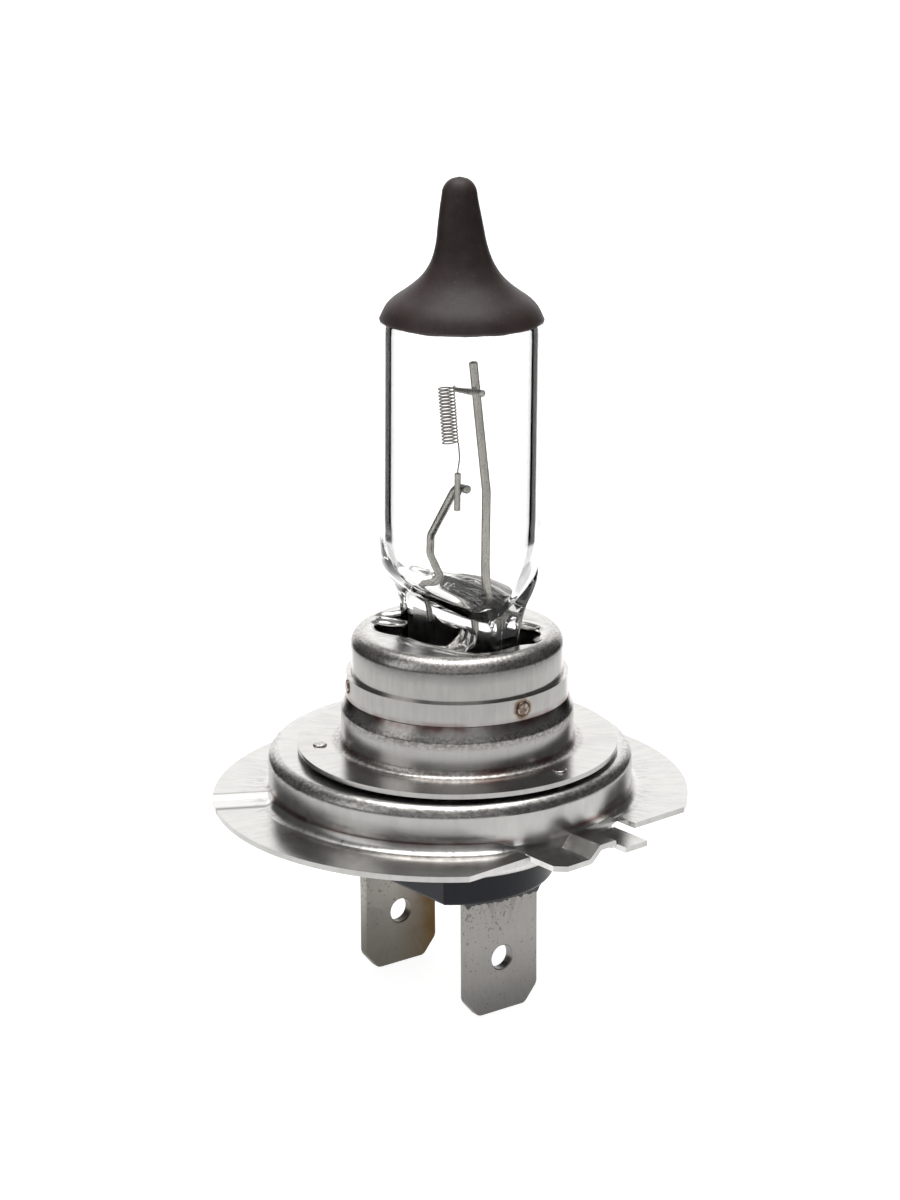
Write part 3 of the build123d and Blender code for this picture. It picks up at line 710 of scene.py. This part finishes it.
def quartz_piece():
    """Clear envelope: wavy pinch, shoulder, tube, dome and drawn tip around a closed cavity."""
    points, faces = [], []
    heights = list(np.arange(PINCH_BOTTOM, PINCH_TOP, 0.35))
    heights += list(np.arange(PINCH_TOP, SHOULDER_TOP + 0.1, 0.16))
    heights += list(np.linspace(SHOULDER_TOP + 0.3, DOME_START, 14))
    heights += list(np.linspace(DOME_START + 0.15, 43.4, 60))
    heights += [TIP_TOP - TIP_RADIUS * (1 - sin(a)) for a in np.linspace(0.05, pi / 2 - 0.08, 12)]
    for z in heights:
        if z < SHOULDER_TOP:
            points += super_ring(half_x(z), half_y(z), squareness(z), z, ripple_at(z))
        else:
            r = outer_radius(z)
            points += super_ring(r, r, 2.0, z, 0.0, tip_shift(z))
    faces += ring_faces(len(heights), SIDES)
    first = len(points)
    inner_x = blend_curve([(CAVITY_FLOOR, 0.2), (15.1, 0.75), (15.5, 1.7), (16.1, 2.9), (16.8, 3.75),
                           (17.6, 4.3), (18.6, 4.66), (19.6, 4.80), (CAVITY_SHOULDER, BORE_RADIUS),
                           (22.0, BORE_RADIUS)])
    inner_y = blend_curve([(CAVITY_FLOOR, 3.3), (15.1, 3.7), (15.5, 4.05), (16.1, 4.4), (16.8, 4.62),
                           (17.6, 4.74), (18.6, 4.8), (19.6, 4.835), (CAVITY_SHOULDER, BORE_RADIUS),
                           (22.0, BORE_RADIUS)])
    inner_squareness = blend_curve([(CAVITY_FLOOR, 2.3), (16.5, 2.2), (18.5, 2.03), (20.0, 2.0),
                                    (CAVITY_SHOULDER, 2.0)])
    rise = CAVITY_SHOULDER - CAVITY_FLOOR
    inner_heights = [CAVITY_FLOOR + rise * (k / 40) ** 1.4 for k in range(41)]
    inner_heights += list(np.linspace(CAVITY_SHOULDER + 0.3, DOME_START, 12))
    inner_heights += list(np.linspace(DOME_START + 0.2, CAVITY_END, 34))
    for z in inner_heights:
        if z < CAVITY_SHOULDER:
            tilt = FLOOR_TILT * max(0.0, 1 - (z - CAVITY_FLOOR) / TILT_HEIGHT) ** 1.5
            points += super_ring(inner_x(z), inner_y(z), inner_squareness(z), z, tilt=tilt)
        else:
            r = max(outer_radius(z) - GLASS_WALL - 0.25 * max(0, z - 36) / 3, 0.15)
            points += super_ring(r, r, 2.0, z)
    faces += ring_faces(len(inner_heights), SIDES, first, flip=True)
    piece("quartz_burner", points, faces, QUARTZ, "quartz", ["quartz_envelope"])


def coating_piece():
    """Thin coating over the dome and tip, with an uneven lower edge."""
    rows = 70
    points = []
    for layer in (0, 1):
        for row in range(rows):
            f = row / (rows - 1)
            for k in range(SIDES):
                t = 2 * pi * k / SIDES
                edge = 0.05 * noise_at(4 * cos(t), 4 * sin(t), 0.7)
                edge += 0.025 * noise_at(14 * cos(t), 14 * sin(t), 2.7)
                start = COATING_START + edge + 0.02 * layer
                grow = COATING_THICKNESS * (1.0 if layer else 0.04)
                z = start + (TIP_TOP - 0.002 - start) * f ** 0.93
                lip = 0.03 * exp(-((z - COATING_START) / 0.16) ** 2)
                skin = 0.012 * noise_at(3 * cos(t), 3 * sin(t), z * 1.2)
                r = outer_radius(z) + grow + layer * (lip + skin)
                up = grow * max(0.0, (z - TIP_TOP + TIP_RADIUS) / TIP_RADIUS)
                points.append(burner_point(r * cos(t) + tip_shift(z), r * sin(t), z + up))
    faces = ring_faces(rows, SIDES, rows * SIDES, close_start=False)
    faces += ring_faces(rows, SIDES, 0, flip=True, close_start=False)
    for k in range(SIDES):
        j = (k + 1) % SIDES
        faces.append((j, k, rows * SIDES + k, rows * SIDES + j))
    piece("antiglare_skin", points, faces, COATING, "antiglare_coating", ["antiglare_cap"])


quartz_piece()
coating_piece()


# --- Clamp cup ----------------------------------------------------------------

CUP_RADIUS = (cup_high.x - cup_low.x) / 2
CUP_BOTTOM = cup_low.z
CUP_SHEET, TONGUE_SHEET, EAR_SHEET = 0.33, 0.11, 0.1
CUP_CORNER = 1.0
CUP_NOSE = 0.07
CUP_SIDES = 288
# Half of the pierced opening in the cup's top, which is the same after half a turn.
HALF_OPENING = [(-0.4, 5.5), (-1.2, 5.65), (-1.9, 5.95), (-2.5, 5.7), (-2.8, 5.0), (-3.7, 4.75),
                (-4.35, 3.7), (-4.4, 2.5), (-3.95, 1.2), (-3.7, 0.1), (-3.5, -1.3), (-3.25, -2.6),
                (-2.95, -4.0), (-2.35, -5.0), (-1.4, -5.45)]


def opening_curve():
    """Radius of the opening's edge at an angle from 0 to a full turn."""
    opening = HALF_OPENING + [(-x, -y) for x, y in HALF_OPENING]
    polar = sorted((atan2(y, x) % (2 * pi), hypot(x, y)) for x, y in opening)
    wrapped = [(a - 2 * pi, r) for a, r in polar[-3:]] + polar + [(a + 2 * pi, r) for a, r in polar[:3]]
    return blend_curve(wrapped)


def shells(*parts):
    """Points and faces of several closed shells in one list."""
    points, faces = [], []
    for part_points, part_faces in parts:
        faces += [tuple(i + len(points) for i in face) for face in part_faces]
        points += part_points
    return points, faces


def sheet(middle, rows, columns, thickness):
    """Closed shell of a bent sheet whose middle is a function of two numbers from 0 to 1."""
    grid = [[middle(i / (rows - 1), j / (columns - 1)) for j in range(columns)] for i in range(rows)]
    normals = []
    for i in range(rows):
        for j in range(columns):
            along = grid[min(i + 1, rows - 1)][j] - grid[max(i - 1, 0)][j]
            across = grid[i][min(j + 1, columns - 1)] - grid[i][max(j - 1, 0)]
            normals.append(along.cross(across).normalized())
    flat = [p for row in grid for p in row]
    points = [p + n * (thickness / 2) for p, n in zip(flat, normals)]
    points += [p - n * (thickness / 2) for p, n in zip(flat, normals)]
    under = rows * columns
    faces = []
    for i in range(rows - 1):
        for j in range(columns - 1):
            a, b = i * columns + j, i * columns + j + 1
            quad = (a, a + columns, b + columns, b)
            faces.append(quad)
            faces.append(tuple(under + k for k in reversed(quad)))
    rim = [(i, 0) for i in range(rows)] + [(rows - 1, j) for j in range(1, columns)]
    rim += [(i, columns - 1) for i in range(rows - 2, -1, -1)] + [(0, j) for j in range(columns - 2, 0, -1)]
    rim = [i * columns + j for i, j in rim]
    for a, b in zip(rim, rim[1:] + rim[:1]):
        faces.append((b, a, under + a, under + b))
    return points, faces


def cup_top_height(d, angle):
    """Height of the cup's top at a distance from its opening: a rolled edge and a pressed trough."""
    side = max(0.0, cos(angle - radians(205))) ** 3 + max(0.0, cos(angle - radians(25))) ** 3
    roll = 0.14 * exp(-(d / 0.2) ** 2)
    trough = 0.12 * side * exp(-((d - 0.8) / 0.4) ** 2)
    wave = 0.015 * noise_at(d * 2, 5 * cos(angle), 5 * sin(angle))
    return CUP_TOP - roll - trough + wave * exp(-d / 1.2)


def cup_shell():
    """Drawn cup with a rounded rim and a pierced opening, as one closed shell."""
    edge = opening_curve()
    flat_radius = CUP_RADIUS - CUP_CORNER

    def profile(inset, angle):
        wall = CUP_TOP - CUP_CORNER - CUP_BOTTOM
        sections = [(CUP_RADIUS - inset, CUP_BOTTOM + wall * k / 8) for k in range(8)]
        bend = CUP_CORNER - inset
        sections += [(flat_radius + bend * cos(a), CUP_TOP - CUP_CORNER + bend * sin(a))
                     for a in np.linspace(0, pi / 2, 11)]
        reach = flat_radius - edge(angle)
        for t in np.linspace(0, 1, 22)[1:]:
            d = reach * (1 - t)
            sections.append((edge(angle) + d, cup_top_height(d, angle) - inset))
        return sections

    columns = []
    for k in range(CUP_SIDES):
        angle = 2 * pi * k / CUP_SIDES
        outer, inner = profile(0.0, angle), profile(CUP_SHEET, angle)
        nose_r, nose_z = outer[-1]
        loop = outer + [(nose_r - CUP_NOSE, nose_z - CUP_SHEET / 2)] + inner[::-1]
        columns.append([Vector((CUP_X + r * cos(angle), CUP_Y + r * sin(angle), z)) for r, z in loop])
    rows = list(zip(*columns))
    return [p for row in rows for p in row], closed_faces(len(rows), CUP_SIDES)


def on_cup(x, y, z, turn):
    """Point beside the cup's axis, turned half round for the second of each pair of tongues."""
    return Vector((CUP_X + turn * x, CUP_Y + turn * y, z))


def crumpled_tongue(turn):
    """Spring tongue bent in from the opening's edge and up against the glass, creased across."""
    path = blend_curve([(0.0, -3.55), (0.3, -3.0), (0.6, -2.2), (0.82, -1.72), (1.0, -1.52)])
    rise = blend_curve([(0.0, -0.12), (0.3, -0.22), (0.6, -0.12), (0.82, 0.18), (1.0, 0.62)])

    def middle(u, v):
        y = -3.0 + (2.6 - 0.9 * u) * (0.5 - v) - 0.1 * u
        zigzag = abs((2.6 * v + 0.5 * u + 0.3) % 1.0 * 2 - 1) - 0.5
        fold = 0.34 * zigzag * sin(pi * min(0.75, 0.2 + 0.7 * u))
        crease = 0.24 * noise_at(u * 2.6, v * 3.4, 1.7 + turn)
        drop = -0.16 * (1 - u) ** 3
        z = CUP_TOP + rise(u) + fold + crease + drop
        return on_cup(path(u) + 0.5 * crease * u, y + 0.3 * crease, z, turn)

    return sheet(middle, 31, 31, TONGUE_SHEET)


def curled_ear(turn):
    """Leaf-shaped ear beside the opening, dished and lifted at its rim."""
    def middle(along, across):
        u, v = 2 * along - 1, 2 * across - 1
        half = 0.56 * sqrt(max(1 - u * u, 0.0)) ** 0.8 + 0.03
        x = -3.20 + 0.44 * u + 0.93 * half * v
        y = 3.44 - 1.14 * u + 0.36 * half * v
        z = CUP_TOP - 0.05 + 0.34 * abs(v) ** 3 + 0.12 * half * v + 0.10 * u ** 4
        return on_cup(x, y, z + 0.03 * noise_at(u * 2, v * 2, 4.0), turn)

    return sheet(middle, 25, 13, EAR_SHEET)


piece("clamp_cup", *cup_shell(), CUP_STEEL, "cap_steel", ["pinch_cup"])
piece("spring_tongues", *shells(crumpled_tongue(1), crumpled_tongue(-1), curled_ear(1), curled_ear(-1)),
      TONGUE_STEEL, "cap_steel")


# --- Ring root, blades and sealant --------------------------------------------

RAMP_AZIMUTH = 180 - degrees(RAMP_TURN)
# Azimuths, in degrees, between which the tongue interrupts the root.
TONGUE_START, TONGUE_END = 251, 291
REAR_DROP = 0.35
ROOT_FILLET = 0.85
ROOT_SUNK = 0.03


def root_fillet():
    """Curved root where the drum's wall sweeps out into the flange, between the ramps and the tongue."""
    parts = []
    steps = 72
    for start, end, z in ((RAMP_AZIMUTH + 1, TONGUE_START, 0.0), (TONGUE_END, 539 - RAMP_AZIMUTH, 0.0),
                          (190.5 - RAMP_AZIMUTH, RAMP_AZIMUTH - 10.5, -REAR_DROP)):
        loops = []
        for i in range(steps + 1):
            angle = radians(start + (end - start) * i / steps)
            from_end = min(i, steps - i) / 7
            size = ROOT_FILLET * (0.12 + 0.88 * sin(min(1.0, from_end) * pi / 2))
            arc = [(DRUM_RADIUS + size * (1 - cos(a)), z + size * (1 - sin(a)))
                   for a in np.linspace(0, pi / 2, 10)]
            arc += [(DRUM_RADIUS + 0.5 * size, z - ROOT_SUNK), (DRUM_RADIUS - ROOT_SUNK, z - ROOT_SUNK),
                    (DRUM_RADIUS - ROOT_SUNK, z + size)]
            loops.append([Vector((r * cos(angle), r * sin(angle), h)) for r, h in arc])
        parts.append(([q for loop in loops for q in loop], ring_faces(steps + 1, len(loops[0]), flip=True)))
    points, faces = shells(*parts)
    piece("ring_root", points, faces, RING_STEEL, "ring_steel", sharp=50)


BLADE_WIDTH = 6.3
BLADE_THICKNESS = 0.8
BLADE_X = -0.3
BLADE_Y = 5.7
BLADE_TURN = radians(-4)
BLADE_HOLE = (0.9, BASE - 10.75)
BLADE_SHOULDER = BASE - 3.6
TAIL_TOP = BASE + 1.6
TAIL_HALF = 1.1
TIP_CHAMFER = (1.1, 1.32)
BLADE_EDGE = 0.13
HOLE_EDGE = 0.07
CORNER_SOFT = 0.28
OUTLINE_SPACING = 0.4
blade_along = Vector((cos(BLADE_TURN), sin(BLADE_TURN), 0))
blade_across = Vector((sin(BLADE_TURN), -cos(BLADE_TURN), 0))


def blade_outline():
    """Outline of a blade from its tail round and back, with close points and softened corners."""
    half = BLADE_WIDTH / 2
    corners = [(0, BLADE_TIP), (half - TIP_CHAMFER[0], BLADE_TIP), (half, BLADE_TIP + TIP_CHAMFER[1]),
               (half, BLADE_SHOULDER), (TAIL_HALF, BLADE_SHOULDER), (TAIL_HALF, TAIL_TOP), (0, TAIL_TOP)]
    corners += [(-x, z) for x, z in reversed(corners[1:-1])]
    out = []
    for i, (x, z) in enumerate(corners):
        before, after = corners[i - 1], corners[(i + 1) % len(corners)]
        p, a, b = Vector((x, z)), Vector(before), Vector(after)
        enter, leave = p + (a - p).normalized() * CORNER_SOFT, p + (b - p).normalized() * CORNER_SOFT
        straight = x == 0
        for s in range(6):
            t = s / 5
            out.append(enter.lerp(leave, t) if straight else
                       enter * (1 - t) ** 2 + p * (2 * t * (1 - t)) + leave * t * t)
        run = (b - (b - p).normalized() * CORNER_SOFT) - leave
        count = int(run.length / OUTLINE_SPACING)
        out += [leave + run * (k / count) for k in range(1, count)]
    return out


def blade_piece(name, node, side, material):
    """Blade terminal with a detent hole and broken edges, around its hole as a closed ring of sections."""
    hole_radius, hole_z = BLADE_HOLE
    centre = Vector((BLADE_X, side * BLADE_Y, hole_z))
    half = BLADE_THICKNESS / 2
    points = []
    outline = blade_outline()
    for p in outline:
        way = Vector((p.x, p.y - hole_z))
        reach = way.length
        way /= reach
        cut = 0.3 * BLADE_EDGE
        front = [(hole_radius + HOLE_EDGE, half), (reach - BLADE_EDGE, half), (reach - cut, half - cut),
                 (reach, half - BLADE_EDGE)]
        section = front + [(r, -d) for r, d in reversed(front)]
        section += [(hole_radius, HOLE_EDGE - half), (hole_radius, half - HOLE_EDGE)]
        points += [centre + blade_along * (way.x * r) + Vector((0, 0, way.y * r)) + blade_across * d
                   for r, d in section]
    faces = closed_faces(len(outline), len(section))
    piece(name, points, faces, material, "blade", [node], sharp=24)


def sealant_piece():
    """Uneven rim of sealant round each blade, with ragged drips down the blade's faces."""
    parts = []
    for side in (-1, 1):
        centre = Vector((BLADE_X, side * BLADE_Y, INSULATOR_BOTTOM))
        half_u, half_v = BLADE_WIDTH / 2, BLADE_THICKNESS / 2
        ends = [(-1, 1), (1, 1), (1, -1), (-1, -1), (-1, 1)]
        count = 320
        loops = []
        for i in range(count):
            corner, f = divmod(4 * i, count)
            (u, v), (next_u, next_v) = ends[corner], ends[corner + 1]
            u, v = u + (next_u - u) * f / count, v + (next_v - v) * f / count
            seed = Vector((u * half_u * 2.2, v * 1.3, 3.1 + side))
            drip = 0.16 + 0.22 * abs(noise_at(*seed)) + 0.16 * abs(noise_at(*(3.1 * seed)))
            if v > 0.5:
                drip += 0.38 * min(1.0, (u + 1) / 0.8) + 0.30 * exp(-((u + 0.93) / 0.08) ** 2)
            section = [(0.10, 0.06), (0.24, 0.0), (0.12, -0.45 * drip), (0.035, -drip), (-0.02, -drip),
                       (-0.02, 0.06)]
            loops.append([centre + blade_along * (u * (half_u + grow)) + blade_across * (v * (half_v + grow))
                          + Vector((0, 0, h)) for grow, h in section])
        parts.append(([q for loop in loops for q in loop], closed_faces(count, len(loops[0]), flip=True)))
    points, faces = shells(*parts)
    piece("sealant_rims", points, faces, SEALANT, "sealant", ["blade_sealant"], sharp=60)


root_fillet()
blade_piece("front_blade", "blade_front", -1, BLADE_FRONT)
blade_piece("rear_blade", "blade_rear", 1, BLADE_REAR)
sealant_piece()


# --- Filament and supports ----------------------------------------------------

COIL_CENTRE = Vector((0.0, 0.0, BASE + 28.0))
COIL_LENGTH = 4.1
COIL_TURNS = 17
COIL_RADIUS = 0.56
WIRE_RADIUS = 0.052
POST_RADIUS = 0.3
POST_Y = 2.9
COIL_LEAN = radians(-4)
coil_up = (Vector((0, 0, 1)) * cos(COIL_LEAN) + lean_way * sin(COIL_LEAN)).normalized()
coil_x = (lean_way - coil_up * coil_up.dot(lean_way)).normalized()
coil_y = coil_up.cross(coil_x)


def out_point(y, z, out):
    """Point in the plane of the supports, out from it towards -X."""
    return burner_point(-out, y, z)


upper_in, upper_out = out_point(0.1, 30.08, 0.5), out_point(-2.95, 30.38, 0.56)
lower_top, lower_end = out_point(-0.32, 24.22, 0.52), out_point(-0.3, 21.45, 0.52)


def coil_piece():
    """Tungsten coil with a leg to each sleeve."""
    path = []
    count = COIL_TURNS * 28
    for i in range(count + 1):
        f = i / count
        angle = 2 * pi * COIL_TURNS * f
        r = COIL_RADIUS * (1 + 0.012 * noise_at(f * 9, 0.3, 0))
        path.append(COIL_CENTRE + coil_up * (COIL_LENGTH * (f - 0.5)) + coil_x * (r * cos(angle))
                    + coil_y * (r * sin(angle)))
    start, finish_point = path[0], path[-1]
    lower = smooth_path([lower_top - burner_up * 0.8, lower_top + burner_up * 0.05,
                         lower_top.lerp(start, 0.45) + coil_x * 0.10 + burner_up * 0.1,
                         start - coil_y * 0.12 - coil_up * 0.06], 14)
    upper = smooth_path([finish_point + coil_y * 0.12 + coil_up * 0.01, upper_in.lerp(upper_out, 0.12),
                         upper_in.lerp(upper_out, 0.35)], 14)
    tube("tungsten_coil", lower + path + upper, WIRE_RADIUS, TUNGSTEN, "tungsten", ["filament_coil"], 12)


coil_piece()

LONG_POST = [(0.25 - POST_Y, 12.6), (0.18 - POST_Y, 23.3), (-1.22, 32.25)]
SHORT_POST = [(POST_Y - 0.7, 12.6), (POST_Y - 0.6, 15.4), (3.38, 17.2), (3.30, 18.7), (0.42, 22.96),
              (-0.92, 23.02)]
for name, corners, bend, end_round, node in (("long_post", LONG_POST, 1.6, 0.35, "long_support_post"),
                                             ("short_post", SHORT_POST, 1.3, 0.5, "short_support_post")):
    path = rounded_path([burner_point(0, y, z) for y, z in corners], bend)
    tube(name, path, POST_RADIUS, MOLYBDENUM, "molybdenum", [node], 28, end_round=end_round)


def crimp_path(a, b):
    """Points from end to end of a sleeve, closer together at both ends."""
    count = 30
    ends = [0.5 - 0.5 * cos(pi * k / count) for k in range(count + 1)]
    return [a.lerp(b, t) for t in ends]


tube("upper_sleeve", crimp_path(upper_in, upper_out), lambda t: 0.17 + 0.07 * min(1, max(0, (t - 0.1) / 0.5)),
     MOLYBDENUM, "molybdenum", ["filament_upper_sleeve"], 24, end_round=0.4)
tube("lower_sleeve", crimp_path(lower_top, lower_end), 0.22, MOLYBDENUM, "molybdenum",
     ["filament_lower_sleeve"], 24, end_round=0.3)


# --- Stage, lights and camera -------------------------------------------------

# Patches of the studio's light: centre, half width, low, high and soft edge in degrees, then brightness.
WALLS = (0, 180, -90, 95, 5, 0.075)
BACKDROP = (180, 31, -95, 30, 6, 1.3)
CEILING = (0, 180, 66, 95, 8, 2.0)
CEILING_HAZE = (0, 180, 45, 95, 12, 0.2)
HIGH_BACK = (180, 60, 50, 70, 10, 0.6)
SIDE_LIGHT = (-62, 17, -20, 46, 9, 0.75)
FRONT_FILL = (0, 32, -20, 60, 14, 0.26)
# The part of the studio that is light for rays that have been through glass.
GLASS_FRONT = (0, 98, -95, 60, 6)

TABLE_HALF = 4.0
TABLE_GLOW = 0.28
TABLE_LIGHT = 0.62
# Light for the camera's own rays, as a share of the brightest.
TABLE_SEEN = 0.6

CAMERA_TARGET = Vector((0.046, -0.039, BASE + 14.5)) * MM
CAMERA_DISTANCE = 0.24
CAMERA_ROLL = radians(-0.28)
LENS, SENSOR = 102.0, 36.0
LAMP_TARGET = Vector((0, 0, 0.015))
LAMP_DISTANCE, LAMP_SIZE, LAMP_POWER = 0.7, 0.5, 2.0


def toward(azimuth, elevation=0.0):
    """Direction at an azimuth and a height above the horizon."""
    return Vector((cos(azimuth) * cos(elevation), sin(azimuth) * cos(elevation), sin(elevation)))


def directions(g, vector):
    """Azimuth from the front of the studio and height above its floor, in degrees, of a direction."""
    axes = (toward(PHOTO_AZIMUTH), toward(PHOTO_AZIMUTH + pi / 2), (0, 0, 1))
    ahead, beside, up = [g.measure("DOT_PRODUCT", vector, axis) for axis in axes]
    return g.times(g.math("ARCTAN2", beside, ahead), degrees(1)), g.times(g.math("ARCSINE", up), degrees(1))


def patch(g, azimuth, elevation, centre, half_width, low, high, soft):
    """1 inside a soft-edged patch of the studio, 0 outside it."""
    away = g.math("ABSOLUTE", g.math("WRAP", g.minus(azimuth, centre), 180.0, -180.0))
    sides = g.smooth(away, half_width + soft, half_width - soft)
    bottom = g.smooth(elevation, low - soft, low + soft)
    return g.times(sides, g.times(bottom, g.smooth(elevation, high + soft, high - soft)))


def through_glass(g, path, straight_share, any_share):
    """Light for a ray through glass: one share for any ray, and another where it went straight through."""
    straight = g.math("LESS_THAN", path["Glossy Depth"], 0.5)
    return g.times(path["Is Transmission Ray"], g.larger(any_share, g.times(straight, straight_share)))


def world():
    """Soft studio of lit patches, plain white to the camera and mostly light to rays through glass."""
    studio = bpy.data.worlds.new("studio")
    bpy.context.scene.world = studio
    studio.use_nodes = True
    g = Graph(studio.node_tree)
    azimuth, elevation = directions(g, g.add("ShaderNodeTexCoord").outputs["Generated"])
    strength = 0.0
    for *edges, power in (WALLS, BACKDROP, CEILING, HIGH_BACK, SIDE_LIGHT, FRONT_FILL, CEILING_HAZE):
        strength = g.plus(strength, g.times(patch(g, azimuth, elevation, *edges), power))
    path = g.add("ShaderNodeLightPath").outputs
    front = patch(g, azimuth, elevation, *GLASS_FRONT)
    strength = g.larger(strength, through_glass(g, path, g.smooth(elevation, 66.0, 54.0), front))
    background = g.tree.nodes["Background"]
    g.link(g.larger(strength, path["Is Camera Ray"]), background.inputs["Strength"])
    background.inputs["Color"].default_value = (1, 1, 1, 1)


def floor():
    """Large plain light table under the blades, brightest round the bulb and behind it, dark at its sides."""
    mesh = bpy.data.meshes.new("floor")
    corners = [(-TABLE_HALF, -TABLE_HALF), (TABLE_HALF, -TABLE_HALF), (TABLE_HALF, TABLE_HALF),
               (-TABLE_HALF, TABLE_HALF)]
    mesh.from_pydata([(x, y, BLADE_TIP * MM) for x, y in corners], [], [(0, 1, 2, 3)])
    s = Shader("pale_floor", Roughness=0.9)
    s.bsdf.inputs["Specular IOR Level"].default_value = 0.0
    s.bsdf.inputs["Emission Color"].default_value = (1, 1, 1, 1)
    distance = s.measure("LENGTH", s.place)
    from_back = s.minus(180.0, s.math("ABSOLUTE", directions(s, s.place)[0]))
    path = s.add("ShaderNodeLightPath").outputs
    seen = path["Is Camera Ray"]
    side_end, soft = 180.0 - GLASS_FRONT[1], GLASS_FRONT[4]
    front = s.smooth(from_back, side_end - soft, side_end + soft)
    through = through_glass(s, path, 1.0, front)
    pool = s.larger(s.smooth(distance, 60.0, 36.0), s.smooth(from_back, 36.0, 26.0))
    lit = s.larger(s.larger(pool, through), s.times(seen, TABLE_SEEN))
    beside = s.times(s.smooth(from_back, 28.0, 34.0), s.minus(1.0, through))
    dark = s.times(s.times(s.smooth(distance, 92.0, 108.0), beside), s.minus(1.0, seen))
    kept = s.minus(1.0, dark)
    glow = s.plus(s.times(lit, TABLE_LIGHT), TABLE_GLOW)
    s.link(s.times(glow, kept), s.bsdf.inputs["Emission Strength"])
    s.colour(s.times(kept, 0.5))
    mesh.materials.append(s.material)
    add_object("floor", mesh)


def softbox():
    """Square area light high behind the bulb, aimed at it."""
    data = bpy.data.lights.new("overhead", "AREA")
    data.shape, data.size, data.size_y = "RECTANGLE", LAMP_SIZE, LAMP_SIZE
    data.energy = LAMP_POWER
    obj = add_object("overhead", data)
    way = toward(PHOTO_AZIMUTH + pi, radians(80))
    obj.location = LAMP_TARGET + way * LAMP_DISTANCE
    obj.rotation_euler = way.to_track_quat("Z", "Y").to_euler()


def camera():
    """Camera at the photograph's angle and distance."""
    data = bpy.data.cameras.new("camera")
    data.sensor_width, data.sensor_fit, data.lens = SENSOR, "AUTO", LENS
    data.clip_start, data.clip_end = 0.01, 50.0
    obj = add_object("camera", data)
    way = toward(PHOTO_AZIMUTH, PHOTO_ELEVATION)
    basis = way.to_track_quat("Z", "Y").to_matrix() @ Matrix.Rotation(CAMERA_ROLL, 3, "Z")
    obj.matrix_world = Matrix.Translation(CAMERA_TARGET + way * CAMERA_DISTANCE) @ basis.to_4x4()
    bpy.context.scene.camera = obj


floor()
world()
softbox()
camera()
bpy.context.scene.view_settings.view_transform = "Standard"
